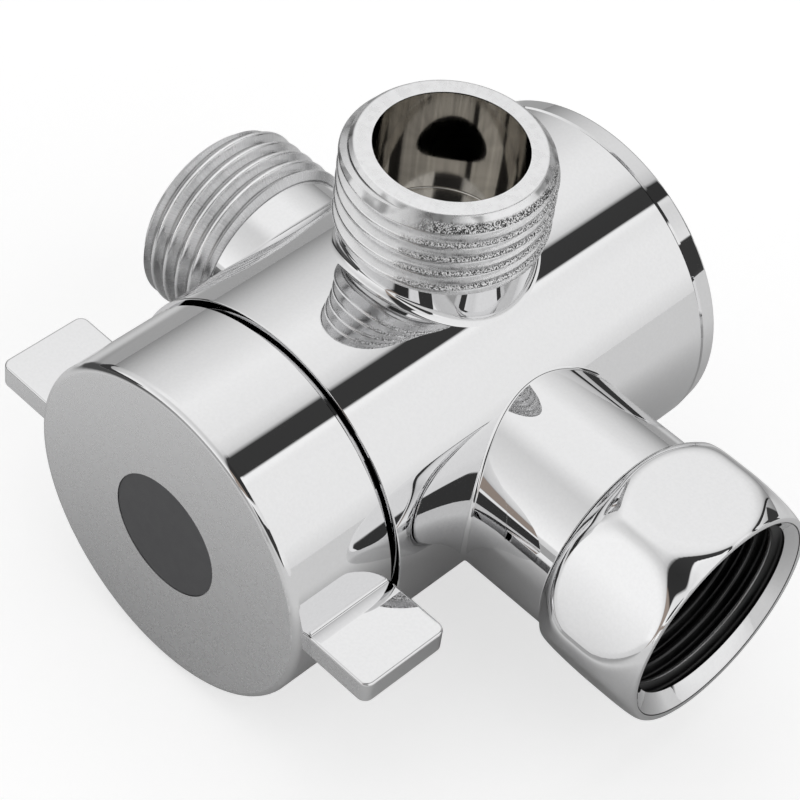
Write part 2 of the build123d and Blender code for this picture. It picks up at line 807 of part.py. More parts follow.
with BuildPart() as filter_screen:
    with BuildSketch(Plane.YZ.offset(spigot_end_x)) as filter_face:
        Circle(filter_rim_radius)
        with HexLocations(filter_hole_pitch / 2, 6, 6):
            Circle(filter_hole_radius, mode=Mode.SUBTRACT)
    extrude(amount=filter_rim_thickness)
filter_screen.part.label = "filter_screen"
export_step(filter_screen.part, "parts/filter_screen.step")

with BuildPart() as inlet_washer:
    with BuildSketch(Plane.YZ.offset(washer_back_x)) as inlet_washer_face:
        Circle(inlet_washer_radius)
        Circle(inlet_bore_radius, mode=Mode.SUBTRACT)
    extrude(amount=inlet_washer_thickness)
inlet_washer.part.label = "inlet_washer"
export_step(inlet_washer.part, "parts/inlet_washer.step")

print("body front", round(body_front_y, 2), "handle", round(handle_rear_y, 2), round(handle_face_y, 2))
print("cap rear", round(cap_rear_y, 2), "nut", round(nut_back_x, 2), round(nut_mouth_x, 2))
print("knob radius", round(knob_radius, 2), "gland radius", round(gland_thread_radius, 2))
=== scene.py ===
# %% [markdown]
# # The looks of a shower diverter valve
#
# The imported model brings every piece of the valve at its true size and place. This lesson
# gives those pieces their finishes, and makes the pieces whose looks need a finer mesh: the
# cast body with its screw threads, the swivel nut, and the small fillets of both castings.
# All lengths are in metres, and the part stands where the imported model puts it.

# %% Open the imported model
import json
import math

import bmesh
import bpy
from mathutils import Matrix, Vector


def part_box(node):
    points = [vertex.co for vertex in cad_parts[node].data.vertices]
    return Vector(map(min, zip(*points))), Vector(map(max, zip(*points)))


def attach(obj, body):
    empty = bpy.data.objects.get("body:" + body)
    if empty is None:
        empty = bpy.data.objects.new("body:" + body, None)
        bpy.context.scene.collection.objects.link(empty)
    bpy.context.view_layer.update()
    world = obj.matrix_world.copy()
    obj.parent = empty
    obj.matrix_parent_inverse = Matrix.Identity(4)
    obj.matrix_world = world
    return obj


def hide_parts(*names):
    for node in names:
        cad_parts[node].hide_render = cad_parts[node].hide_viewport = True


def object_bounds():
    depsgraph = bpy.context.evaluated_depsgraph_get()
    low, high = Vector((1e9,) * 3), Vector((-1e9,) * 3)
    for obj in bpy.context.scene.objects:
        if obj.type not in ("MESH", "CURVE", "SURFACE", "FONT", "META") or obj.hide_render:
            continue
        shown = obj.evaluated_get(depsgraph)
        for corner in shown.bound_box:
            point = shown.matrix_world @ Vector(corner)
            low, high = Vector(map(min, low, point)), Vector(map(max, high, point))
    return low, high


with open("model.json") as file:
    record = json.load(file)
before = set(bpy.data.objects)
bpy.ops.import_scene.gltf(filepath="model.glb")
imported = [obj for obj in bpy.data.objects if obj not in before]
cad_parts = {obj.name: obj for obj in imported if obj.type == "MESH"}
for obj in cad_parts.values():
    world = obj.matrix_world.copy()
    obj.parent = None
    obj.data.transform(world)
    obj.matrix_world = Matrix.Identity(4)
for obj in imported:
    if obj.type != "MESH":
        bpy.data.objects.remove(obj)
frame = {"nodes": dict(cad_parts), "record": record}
cad_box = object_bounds()
nodes = frame["nodes"]
mounts = {mount["name"]: mount for mount in frame["record"]["mounts"]}
mm = 0.001

# %% [markdown]
# ## The camera
#
# The photo looks down on the knob from the front right, with a long lens and the camera
# tilted a little to one side. Two angles, a roll and a distance say all of that, which is
# easier to read and to change than a matrix. A long lens keeps the knob from looking
# larger than the ports behind it.

# %% Set up the camera
view_azimuth = math.radians(39.1965)
view_elevation = math.radians(47.6107)
view_roll = math.radians(8.3033)
view_distance = 280.41 * mm
view_target = Vector((-33.135, -1.68, -2.905)) * mm
lens_length = 125.98
film_width = 36.0

toward_camera = Vector((
    math.sin(view_azimuth) * math.cos(view_elevation),
    -math.cos(view_azimuth) * math.cos(view_elevation),
    math.sin(view_elevation),
))
level_right = Vector((math.cos(view_azimuth), math.sin(view_azimuth), 0))
level_up = toward_camera.cross(level_right)
film_right = level_right * math.cos(view_roll) + level_up * math.sin(view_roll)
film_up = toward_camera.cross(film_right)

camera = bpy.data.objects.new("camera", bpy.data.cameras.new("camera"))
camera.data.lens = lens_length
camera.data.sensor_width = film_width
camera.data.sensor_fit = "HORIZONTAL"
camera.data.clip_start = 1 * mm
camera.matrix_world = Matrix.Translation(view_target + toward_camera * view_distance) @ Matrix((
    film_right, film_up, toward_camera,
)).transposed().to_4x4()
bpy.context.collection.objects.link(camera)
bpy.context.scene.camera = camera
bpy.context.scene.view_settings.view_transform = "Standard"
print("camera at", [round(c / mm) for c in camera.location], "mm")

# %% [markdown]
# ## Small helpers for shader nodes
#
# Every finish below is a graph of shader nodes. Adding a node, setting it up and filling
# its sockets takes many lines, so one helper does all three. It takes numbers as well as
# the outputs of other nodes. The others are short names for the sums that come back most.

# %% Node helpers
def add(tree, kind, inputs=None, **settings):
    """Adds a node, sets it up, and fills or links its inputs."""
    made = tree.nodes.new(kind)
    for key, value in settings.items():
        setattr(made, key, value)
    for key, value in (inputs or {}).items():
        fill(tree, made.inputs[key], value)
    return made


def fill(tree, socket, value):
    """Links another node's output to a socket, or sets the socket's own value."""
    if isinstance(value, bpy.types.NodeSocket):
        tree.links.new(value, socket)
    else:
        socket.default_value = value


def calc(tree, operation, *values, clamp=False):
    """A Math node's result."""
    made = tree.nodes.new("ShaderNodeMath")
    made.operation = operation
    made.use_clamp = clamp
    for socket, value in zip(made.inputs, values):
        fill(tree, socket, value)
    return made.outputs[0]


def times(tree, first, *others):
    """The product of several values."""
    for other in others:
        first = calc(tree, "MULTIPLY", first, other)
    return first


def vector_calc(tree, operation, *vectors, scale=None):
    """A Vector Math node's result: a number for a length or a dot product, or else a vector."""
    inputs = dict(enumerate(vectors))
    if scale is not None:
        inputs["Scale"] = scale
    made = add(tree, "ShaderNodeVectorMath", inputs, operation=operation)
    return made.outputs["Value" if operation in ("LENGTH", "DOT_PRODUCT") else "Vector"]


def axes(tree, vector):
    """The X, Y and Z of a vector."""
    return add(tree, "ShaderNodeSeparateXYZ", {0: vector}).outputs


def remap(tree, value, low, high, to_low=0.0, to_high=1.0, smooth=True):
    """Maps a value from one range to another, with soft ends."""
    made = add(
        tree, "ShaderNodeMapRange",
        {"Value": value, "From Min": low, "From Max": high, "To Min": to_low, "To Max": to_high},
        interpolation_type="SMOOTHSTEP" if smooth else "LINEAR",
    )
    return made.outputs["Result"]


print("helpers:", [helper.__name__ for helper in (add, fill, calc, times, vector_calc, axes, remap)])

# %% [markdown]
# ## The studio
#
# Chrome has no colour of its own: what we see on it is the room. The room in the photo is
# a white tent round the valve. Its walls are dim low on the left and behind, and bright
# low on the right and in front. A world shader can draw such a tent from the direction of
# each ray alone, which keeps it soft and free of lamps.

# %% Hang the walls
def levels(tree, position, stops):
    """A grey level that changes along a position from 0 to 1."""
    ramp = add(tree, "ShaderNodeValToRGB", {0: position})
    elements = ramp.color_ramp.elements
    for number, (place, level) in enumerate(stops):
        stop = elements[number] if number < 2 else elements.new(place)
        stop.position = place
        stop.color = (level, level, level, 1)
    return ramp.outputs["Color"]


def blend(tree, factor, first, second):
    """Mixes two numbers or greys."""
    return add(tree, "ShaderNodeMix", {"Factor": factor, "A": first, "B": second}).outputs[0]


def blend_colour(tree, factor, colour, level):
    """Mixes a colour with a grey of this level."""
    made = add(tree, "ShaderNodeMix", data_type="RGBA")
    values = {"Factor_Float": factor, "A_Color": colour, "B_Color": (level, level, level, 1)}
    for socket in made.inputs:
        if socket.identifier in values:
            fill(tree, socket, values[socket.identifier])
    return next(socket for socket in made.outputs if socket.identifier == "Result_Color")


world = bpy.data.worlds.new("tent")
bpy.context.scene.world = world
world.use_nodes = True
tree = world.node_tree
tree.nodes.clear()
to_right, to_back, to_top = axes(tree, add(tree, "ShaderNodeTexCoord").outputs["Generated"])
to_front = times(tree, to_back, -1)
left_wall = levels(tree, to_top, [
    (0, 0.3), (0.15, 0.46), (0.3, 0.63), (0.45, 0.76), (0.62, 0.86), (0.78, 1.0),
])
right_wall = levels(tree, to_top, [(0, 0.8), (0.2, 0.95), (1, 0.98)])
front_wall = levels(tree, to_top, [
    (0, 0.72), (0.06, 0.78), (0.085, 1.08), (0.3, 0.97), (0.5, 0.85), (0.8, 0.73), (0.95, 0.86),
])
sides = blend(tree, remap(tree, to_right, 0.3, 0.6), left_wall, right_wall)
in_front = remap(tree, to_front, 0.1, 0.45)
walls = blend(tree, in_front, sides, front_wall)
print("three walls")

# %% [markdown]
# ## The gap in the tent
#
# Between two panels overhead there is a gap, and it draws the dark stripe along the barrel
# and the knob. It widens towards the camera, which looks in there. The tilt is the angle
# from straight up towards +X, seen along the barrel. One panel glows a little at its edge,
# and the other falls off towards the gap. A colour ramp over the tilt draws all of that
# with a few stops, where a modelled tent would need cloth and lamps.

# %% Open the gap
gap_start = math.radians(12.2)
gap_end = math.radians(28.2)
gap_end_in_front = math.radians(46)
gap_level = 0.045
gap_softness = 0.003

tilt = calc(tree, "ARCTAN2", to_right, to_top)
narrowing = (gap_end - gap_start) / (gap_end_in_front - gap_start)
stretch = remap(tree, in_front, 0, 1, 1.0, narrowing, smooth=False)
past_start = calc(tree, "MAXIMUM", calc(tree, "SUBTRACT", tilt, gap_start), 0)
evened = calc(tree, "MULTIPLY_ADD", past_start, stretch, calc(tree, "MINIMUM", tilt, gap_start))
start_place, end_place = (0.5 + angle / (2 * math.pi) for angle in (gap_start, gap_end))
panels = levels(tree, remap(tree, evened, -math.pi, math.pi, smooth=False), [
    (0.42, 1.0), (0.5, 0.93), (start_place - 0.01, 0.8), (start_place, 0.68),
    (start_place + gap_softness, gap_level), (end_place - gap_softness, gap_level),
    (end_place, 1.12), (end_place + 0.013, 1.0),
])
print("gap of", round(math.degrees(gap_end - gap_start)), "degrees")

# %% [markdown]
# ## The open sides of the tent
#
# The tent is open low down round the camera, in front on the right, and again on the left
# and behind. All of that is dark. Single reflections hardly ever reach it, but those in the
# knob's rounded rim do, and so do those between the barrel and the branch. That gives the
# dark lines and the black shapes along the creases. A dim card stands straight ahead. Each
# opening is a mask of the ray's heading and height, with a soft border. The camera itself
# sees plain white behind the valve, where the chrome and the floor see the tent.

# %% Open the sides
heading_angle = calc(tree, "ARCTAN2", to_right, to_front)
card_colour = (0.36, 0.3, 0.26)
border = 0.015
end_softness = 0.02
sill_length = 0.15
below_horizon = 0.02


def opening(start, end, softness, top_at_start, top_at_end, sill_at_end=0.0):
    """1 inside an opening between two headings in degrees.

    Its top changes along it, and its sill may rise at the end.
    """
    start, end, softness = (math.radians(angle) for angle in (start, end, softness))
    from_start = remap(tree, heading_angle, start - softness, start)
    to_end = remap(tree, heading_angle, end + end_softness, end)
    top = remap(tree, heading_angle, start, end, top_at_start, top_at_end, smooth=False)
    below = remap(tree, calc(tree, "SUBTRACT", top, to_top), 0.0, border)
    sill = remap(tree, heading_angle, end - sill_length, end, -below_horizon, sill_at_end - below_horizon)
    above = remap(tree, calc(tree, "SUBTRACT", to_top, sill), 0.0, border)
    return times(tree, from_start, to_end, below, above)


openings = [
    opening(17, 64.5, 3, 0.22, 0.44, 0.26),
    opening(142, 172, 4, 0.3, 0.22),
    opening(-112, -45, 6, 0.12, 0.2),
]
opened = openings[0]
for another in openings[1:]:
    opened = calc(tree, "MAXIMUM", opened, another)
card = vector_calc(tree, "SCALE", card_colour, scale=remap(tree, to_front, 0.8, 0.88))
lit_walls = vector_calc(tree, "MAXIMUM", vector_calc(tree, "MULTIPLY", walls, panels), card)
tent = add(tree, "ShaderNodeBackground", {"Color": blend_colour(tree, opened, lit_walls, gap_level)})
backdrop = add(tree, "ShaderNodeBackground", {"Color": (1, 1, 1, 1)})
path = add(tree, "ShaderNodeLightPath").outputs
straight = calc(tree, "ADD", path["Is Camera Ray"], path["Is Transmission Ray"], clamp=True)
both = add(tree, "ShaderNodeMixShader", {0: straight, 1: tent.outputs[0], 2: backdrop.outputs[0]})
add(tree, "ShaderNodeOutputWorld", {"Surface": both.outputs[0]})
print(len(openings), "openings")

# %% [markdown]
# ## The floor
#
# A plain pale sheet lies just under the valve. A diffuse sheet alone renders as light
# grey, and turning the light up to whiten it would burn out the chrome. So the sheet adds a
# little light of its own, only for rays that look at it. It still darkens where the valve
# keeps the tent's light off it, which is the soft shadow. For mirrors the own light carries
# painted shade: it is left out in a painted shadow round the valve, and on the left kept
# only in a ring, a painted fall-off of light farther out. Under the tent's open side the
# sheet's colour is darkened for mirrors alone, a painted shade that leaves it nearly dark.

# %% Lay the floor
floor_half_width = 2.0
floor_gap = 0.05 * mm
floor_colour = 0.55
floor_own_light = 0.62
mirrored_light = 0.3
shadow_reach = 30 * mm
light_reach = 85 * mm
light_start = 65 * mm
light_end = 125 * mm
dark_reach = 150 * mm
ring_sides = (60 * mm, -20 * mm)
dark_edge_behind = (math.radians(-108), math.radians(-92))
dark_edge_in_front = (math.radians(-20), math.radians(-40))
unlit_share = 0.8

floor_material = bpy.data.materials.new("pale_sheet")
floor_material.use_nodes = True
tree = floor_material.node_tree
tree.nodes.clear()
spot = add(tree, "ShaderNodeTexCoord").outputs["Object"]
fibres = add(tree, "ShaderNodeTexNoise", {"Vector": spot, "Scale": 900})
away = vector_calc(tree, "LENGTH", spot)
spot_x, spot_y, _ = axes(tree, spot)
spot_heading = calc(tree, "ARCTAN2", spot_x, times(tree, spot_y, -1))
on_left = times(
    tree, remap(tree, spot_heading, *dark_edge_behind), remap(tree, spot_heading, *dark_edge_in_front),
)
path = add(tree, "ShaderNodeLightPath").outputs
# Painted shade: for mirrors the sheet's colour darkens on the left, far out under the tent's open side.
unlit = times(tree, on_left, path["Is Glossy Ray"], remap(tree, away, light_reach, dark_reach))
paper = remap(tree, fibres.outputs["Fac"], 0.2, 0.8, floor_colour * 0.985, floor_colour)
tone = times(tree, paper, calc(tree, "MULTIPLY_ADD", unlit, -unlit_share, 1.0))
pale = add(tree, "ShaderNodeCombineColor", {0: tone, 1: tone, 2: tone})
sheet = add(tree, "ShaderNodeBsdfDiffuse", {"Color": pale.outputs[0]})
# Painted shadow: mirrors see the own light only outside the valve's shadow, and on the left only in a ring.
ending = times(tree, remap(tree, away, light_start, light_end), remap(tree, spot_x, *ring_sides))
lit = times(tree, remap(tree, away, shadow_reach, light_reach), calc(tree, "SUBTRACT", 1.0, ending))
mirrored = times(tree, path["Is Glossy Ray"], lit, mirrored_light)
seen = calc(tree, "ADD", path["Is Camera Ray"], path["Is Transmission Ray"], clamp=True)
own_light = calc(tree, "MULTIPLY_ADD", seen, floor_own_light, mirrored)
glow = add(tree, "ShaderNodeEmission", {"Strength": own_light})
summed = add(tree, "ShaderNodeAddShader", {0: sheet.outputs[0], 1: glow.outputs[0]})
add(tree, "ShaderNodeOutputMaterial", {"Surface": summed.outputs[0]})

middle = (cad_box[0] + cad_box[1]) / 2
floor_level = cad_box[0].z - floor_gap
floor_mesh = bpy.data.meshes.new("floor")
floor_mesh.from_pydata(
    [(x * floor_half_width, y * floor_half_width, 0) for x, y in ((-1, -1), (1, -1), (1, 1), (-1, 1))],
    [], [(0, 1, 2, 3)],
)
floor_mesh.materials.append(floor_material)
floor = bpy.data.objects.new("floor", floor_mesh)
floor.location = (middle.x, middle.y, floor_level)
bpy.context.collection.objects.link(floor)
print("floor", round(floor_level / mm, 2), "mm below the inlet's axis")

# %% [markdown]
# ## Effects that several finishes share
#
# Three effects come back on many pieces. Polished plating is never quite flat: it has a
# slow waviness from the buffing wheel and a faint haze. Turned pieces carry fine lines
# round their axis. Moulded and sintered pieces have a fine grain. Each is a node group
# that gives out only values, so that every material can use it with its own numbers.

# %% Start a shared group
def new_group(name, inputs, outputs):
    """An empty node group with value sockets, and its input and output nodes."""
    group = bpy.data.node_groups.new(name, "ShaderNodeTree")
    group.interface.new_socket("Place", in_out="INPUT", socket_type="NodeSocketVector")
    for socket_name, value in inputs.items():
        socket = group.interface.new_socket(socket_name, in_out="INPUT", socket_type="NodeSocketFloat")
        socket.default_value = value
    for socket_name in outputs:
        group.interface.new_socket(socket_name, in_out="OUTPUT", socket_type="NodeSocketFloat")
    print(name, "takes", list(inputs), "and gives", outputs)
    return group, group.nodes.new("NodeGroupInput").outputs, group.nodes.new("NodeGroupOutput").inputs


def noise(tree, place, size, detail=2.0, spread=0.5):
    """Noise of about this feature size in metres."""
    made = add(
        tree, "ShaderNodeTexNoise",
        {"Vector": place, "Scale": 1 / size, "Detail": detail, "Roughness": spread},
    )
    return made.outputs["Fac"]


# %% Buffed plating
plating, given, results = new_group(
    "buffed_plating",
    {"Clear": 0.02, "Hazy": 0.06},
    ["Roughness", "Height", "Tone"],
)
slow = noise(plating, given["Place"], 9 * mm, 1.0)
haze = noise(plating, given["Place"], 2.5 * mm, 4.0)
specks = noise(plating, given["Place"], 0.35 * mm, 2.0)
hazed = calc(
    plating, "MULTIPLY_ADD", remap(plating, haze, 0.45, 0.75),
    calc(plating, "SUBTRACT", given["Hazy"], given["Clear"]), given["Clear"],
)
fill(plating, results["Roughness"], hazed)
fill(plating, results["Height"], slow)
fill(plating, results["Tone"], remap(plating, specks, 0.2, 0.8, 0.97, 1.0))

# %% Turned lines
lines, given, results = new_group(
    "turned_lines",
    {"Along": 0.0, "Spacing": 0.1 * mm},
    ["Height", "Tone"],
)
step = calc(lines, "DIVIDE", given["Along"], given["Spacing"])
wandering = calc(lines, "ADD", step, noise(lines, given["Place"], 3 * mm, 2.0))
cut = add(lines, "ShaderNodeTexNoise", {"W": wandering, "Scale": 1.0, "Detail": 3.0}, noise_dimensions="1D")
fill(lines, results["Height"], cut.outputs["Fac"])
fill(lines, results["Tone"], remap(lines, cut.outputs["Fac"], 0.3, 0.7, 0.86, 1.0))

# %% Fine grain
grain, given, results = new_group(
    "fine_grain",
    {"Size": 0.2 * mm, "Clear": 0.4, "Hazy": 0.6},
    ["Height", "Tone", "Roughness"],
)
scaled = vector_calc(grain, "SCALE", given["Place"], scale=calc(grain, "DIVIDE", 1.0, given["Size"]))
fine = add(grain, "ShaderNodeTexNoise", {"Vector": scaled, "Scale": 1.0, "Detail": 3.0}).outputs["Fac"]
broad = add(grain, "ShaderNodeTexNoise", {"Vector": scaled, "Scale": 0.06, "Detail": 2.0}).outputs["Fac"]
fill(grain, results["Height"], fine)
fill(grain, results["Tone"], remap(grain, broad, 0.3, 0.7, 0.9, 1.0))
fill(grain, results["Roughness"], calc(
    grain, "MULTIPLY_ADD", remap(grain, broad, 0.3, 0.7),
    calc(grain, "SUBTRACT", given["Hazy"], given["Clear"]), given["Clear"],
))

# %% [markdown]
# ## Finishes
#
# A material holds the Principled shader and places the shared groups with its own values.
# Numbers that are the same all over a surface stay on the shader's own sockets. Mirror
# chrome is nearly all reflection, so its colour and roughness may only vary a little: just
# enough haze to keep it from looking like glass.

# %% Start a material
def new_material(name, **constants):
    """A material with a Principled shader, its tree, and the place of each point on its piece."""
    material = bpy.data.materials.new(name)
    material.use_nodes = True
    tree = material.node_tree
    shader = tree.nodes["Principled BSDF"]
    for key, value in constants.items():
        shader.inputs[key.replace("_", " ").title()].default_value = value
    place = add(tree, "ShaderNodeTexCoord").outputs["Object"]
    print("material", name)
    return material, tree, shader, place


def grey(tree, shader, colour, tone):
    """Base colour times a tone that varies over the surface."""
    fill(tree, shader.inputs["Base Color"], vector_calc(tree, "SCALE", colour, scale=tone))


def bump(tree, height, depth, under=None):
    """The normal of a surface with this height in metres, on top of another bump if given."""
    made = add(tree, "ShaderNodeBump", {"Height": height, "Distance": depth, "Strength": 1.0})
    if under is not None:
        fill(tree, made.inputs["Normal"], under)
    return made.outputs["Normal"]


def use_group(tree, group, place, **values):
    """Places a shared group and fills its inputs."""
    made = add(tree, "ShaderNodeGroup", node_tree=group)
    fill(tree, made.inputs["Place"], place)
    for key, value in values.items():
        fill(tree, made.inputs[key], value)
    return made.outputs


# %% Mirror chrome
chrome_colour = (0.83, 0.83, 0.835)


def mirror_chrome(name):
    """Polished chrome plate, the finish of nearly all that shows."""
    material, tree, shader, place = new_material(name, metallic=1.0)
    plate = use_group(tree, plating, place, Clear=0.015, Hazy=0.04)
    grey(tree, shader, chrome_colour, plate["Tone"])
    fill(tree, shader.inputs["Roughness"], plate["Roughness"])
    fill(tree, shader.inputs["Normal"], bump(tree, plate["Height"], 0.006 * mm))
    return material


body_chrome = mirror_chrome("body_chrome")
nut_chrome = mirror_chrome("nut_chrome")

# %% Inside of the nut
nut_thread_radius = mounts["inlet"]["dims"]["r_mm"] * mm
thread_depth = 0.95 * mm
nut_crest_radius = nut_thread_radius - thread_depth


def dark_tapping():
    """Tapped metal in a very dark tone, with crests that grow lighter towards the mouth."""
    material, tree, shader, place = new_material("dark_tapping", metallic=1.0)
    radius = vector_calc(tree, "LENGTH", vector_calc(tree, "MULTIPLY", place, (0, 1, 1)))
    stain = use_group(tree, grain, place, Size=0.25 * mm, Clear=0.28, Hazy=0.42)
    crest = remap(tree, radius, nut_crest_radius + 0.05 * mm, nut_crest_radius + 0.03 * mm)
    # The crests grow lighter towards the nut's mouth.
    crests_lighter_to_mouth = times(tree, crest, remap(tree, axes(tree, place)["X"], 2.5 * mm, 5.5 * mm, 0.02, 0.75))
    grey(tree, shader, chrome_colour, times(tree, stain["Tone"], calc(tree, "ADD", crests_lighter_to_mouth, 0.07)))
    fill(tree, shader.inputs["Roughness"], stain["Roughness"])
    fill(tree, shader.inputs["Normal"], bump(tree, stain["Height"], 0.004 * mm))
    return material


nut_inside = dark_tapping()

# %% [markdown]
# ## Threads that hold a rough plating
#
# The plating shop never buffs the threads. Their flanks are satin with fine scratches across
# them. Their roots carry painted shade, and their crests a painted highlight. On the upper
# port the chrome has grown coarse crystals along the crests, on the side towards the inlet.
# The distance from the port's axis tells root from crest, so one material does it all.

# %% Where a point lies on its port
top_port_x = mounts["outlet_top"]["pos_m"][0]
top_port_y = mounts["outlet_top"]["pos_m"][1]
thread_radius = mounts["outlet_top"]["dims"]["r_mm"] * mm
thread_lead = 1.35 * mm
rim_radius = thread_radius - thread_lead
upper_port_level = 12 * mm


def across_port(tree, place):
    """The part of a place that lies across its own port's axis, and 1 on the upper port."""
    x, y, z = axes(tree, place)
    on_upper = calc(tree, "GREATER_THAN", z, upper_port_level)
    upper = vector_calc(tree, "MULTIPLY", place, (1, 1, 0))
    upper = vector_calc(tree, "SUBTRACT", upper, (top_port_x, top_port_y, 0))
    side = add(tree, "ShaderNodeCombineXYZ", {0: y, 1: z}).outputs[0]
    chosen = add(tree, "ShaderNodeMix", {"Factor": on_upper, "A": side, "B": upper}, data_type="VECTOR")
    return chosen.outputs["Result"], on_upper


print("thread", round(2 * thread_radius / mm, 2), "mm over its crests")

# %% Coarse crystals
root_radius = thread_radius - thread_depth
coarse_heading = Vector((0.97, -0.24, 0))
pit_darkness = 0.92


def coarse_side(tree, place, across, on_upper):
    """How far the crystals have spread here, and their height."""
    toward = vector_calc(tree, "DOT_PRODUCT", across, coarse_heading)
    patches = noise(tree, place, 2.2 * mm, 3.0)
    near = calc(tree, "MULTIPLY_ADD", calc(tree, "SUBTRACT", patches, 0.5), 7 * mm, toward)
    spread = times(tree, remap(tree, near, 5.0 * mm, 8.0 * mm), on_upper)
    return spread, noise(tree, place, 0.15 * mm, 1.5, 0.6)


def pitted(tree, tone, coarse, crystals, shallow, deep):
    """A tone that darkens in the pits between the crystals."""
    pits = times(tree, coarse, remap(tree, crystals, shallow, deep))
    return times(tree, tone, calc(tree, "MULTIPLY_ADD", pits, -pit_darkness, 1.0))


print("crystals from", round(root_radius / mm, 2), "mm outwards")


# %% Thread finish
thread_colour = (0.88, 0.88, 0.885)


def thread_chrome():
    """Unbuffed chrome: painted shade in the roots, satin flanks, a painted highlight on the crests and one
    crystalline side.
    """
    material, tree, shader, place = new_material("thread_chrome", metallic=1.0)
    across, on_upper = across_port(tree, place)
    radius = vector_calc(tree, "LENGTH", across)
    outward = vector_calc(tree, "NORMALIZE", across)
    satin = use_group(tree, grain, place, Size=0.09 * mm, Clear=0.2, Hazy=0.32)
    scratches = noise(tree, outward, 0.012, 3.0, 0.6)
    flank = blend(tree, on_upper, remap(tree, scratches, 0.3, 0.7, 0.84, 1.0), 1.0)
    # Painted shade darkens the roots to half tone, and a painted highlight lifts the crests above the flanks.
    above_painted_root_shade = remap(tree, radius, root_radius + 0.02 * mm, root_radius + 0.1 * mm)
    painted_highlight_mask = remap(tree, radius, thread_radius - 0.14 * mm, thread_radius - 0.06 * mm)
    wear_and_painted_light = blend(tree, painted_highlight_mask, blend(tree, above_painted_root_shade, 0.5, flank), 1.12)
    spread, crystals = coarse_side(tree, place, across, on_upper)
    on_crest = remap(tree, radius, thread_radius - 0.4 * mm, thread_radius - 0.12 * mm, 0.08, 1.0)
    coarse = times(tree, spread, on_crest)
    tone = pitted(tree, times(tree, wear_and_painted_light, satin["Tone"]), coarse, crystals, 0.54, 0.42)
    grey(tree, shader, thread_colour, tone)
    fill(tree, shader.inputs["Roughness"], satin["Roughness"])
    fine_normal = bump(tree, satin["Height"], 0.002 * mm)
    fill(tree, shader.inputs["Normal"], bump(tree, times(tree, coarse, crystals), 0.1 * mm, fine_normal))
    return material


thread_finish = thread_chrome()

# %% [markdown]
# ## Rims and bores of the ports
#
# The rim of each port is tumbled to an even satin, and its lead-in has dark smudges.
# Inside, the plating is thin over warm brass, and the reamer has drawn it lengthwise. The
# streaks are noise on the direction across the port alone, so they run straight down the
# bore.

# %% Rim and bore finishes
rim_colour = (0.9, 0.9, 0.905)
bore_colour = (0.66, 0.64, 0.605)


def rim_satin():
    """Pale satin chrome, with dark smudges on the lead-in."""
    material, tree, shader, place = new_material("rim_satin", metallic=1.0)
    across, on_upper = across_port(tree, place)
    radius = vector_calc(tree, "LENGTH", across)
    satin = use_group(tree, grain, place, Size=0.06 * mm, Clear=0.24, Hazy=0.34)
    smudged = remap(tree, noise(tree, place, 3.2 * mm, 2.0, 0.55), 0.5, 0.64)
    on_lead = remap(tree, radius, rim_radius, rim_radius + 0.2 * mm)
    wear_and_painted_light = calc(tree, "MULTIPLY_ADD", times(tree, smudged, on_lead), -0.55, 1.0)
    spread, crystals = coarse_side(tree, place, across, on_upper)
    coarse = times(tree, spread, remap(tree, radius, rim_radius + 0.45 * mm, rim_radius + 0.75 * mm))
    tone = pitted(tree, times(tree, satin["Tone"], wear_and_painted_light), coarse, crystals, 0.56, 0.46)
    grey(tree, shader, rim_colour, tone)
    fill(tree, shader.inputs["Roughness"], satin["Roughness"])
    fine_normal = bump(tree, satin["Height"], 0.0015 * mm)
    fill(tree, shader.inputs["Normal"], bump(tree, times(tree, coarse, crystals), 0.08 * mm, fine_normal))
    return material


def reamed_bore():
    """Thinly plated brass, streaked along the bore."""
    material, tree, shader, place = new_material("reamed_bore", metallic=1.0)
    across, on_upper = across_port(tree, place)
    outward = vector_calc(tree, "NORMALIZE", across)
    streaks = noise(tree, outward, 0.16, 2.5, 0.6)
    grey(tree, shader, bore_colour, remap(tree, streaks, 0.3, 0.7, 0.75, 1.0))
    fill(tree, shader.inputs["Roughness"], remap(tree, streaks, 0.3, 0.7, 0.09, 0.05))
    return material


rim_finish = rim_satin()
bore_finish = reamed_bore()

# %% [markdown]
# ## Shapes made on a lathe
#
# Nearly every surface of the valve was turned, so its mesh starts as an outline of radius
# and level, swept round an axis. Blender's Screw modifier could do that, but here each
# face also has to remember which axis it was turned about: after the pieces are joined,
# that is what gives mirror chrome its true normals.

# %% Turn an outline
axis_tag = "turned_about"
turn_segments = 240
corner_steps = 3


def round_corners(outline, radius):
    """Softens each corner of a closed outline, except those on the axis.

    Where the outline goes on to the axis, the caller leaves out the points at its ends.
    """
    softened = []
    for before, corner, after in zip(outline[-1:] + outline[:-1], outline, outline[1:] + outline[:1]):
        here = Vector(corner)
        back, ahead = Vector(before) - here, Vector(after) - here
        if here.x == 0 or radius == 0 or back.length * ahead.length == 0:
            softened.append(corner)
            continue
        reach = min(radius, back.length * 0.4, ahead.length * 0.4)
        start, end = here + back.normalized() * reach, here + ahead.normalized() * reach
        for number in range(corner_steps + 1):
            t = number / corner_steps
            softened.append(tuple(start.lerp(here, t).lerp(here.lerp(end, t), t)))
    return softened


def new_piece(name, bm, slots):
    """A mesh object from a finished bmesh, with its material slots."""
    bmesh.ops.remove_doubles(bm, verts=bm.verts, dist=1e-7)
    bmesh.ops.recalc_face_normals(bm, faces=bm.faces)
    mesh = bpy.data.meshes.new(name)
    bm.to_mesh(mesh)
    bm.free()
    for material in slots:
        mesh.materials.append(material)
    piece = bpy.data.objects.new(name, mesh)
    bpy.context.collection.objects.link(piece)
    return piece


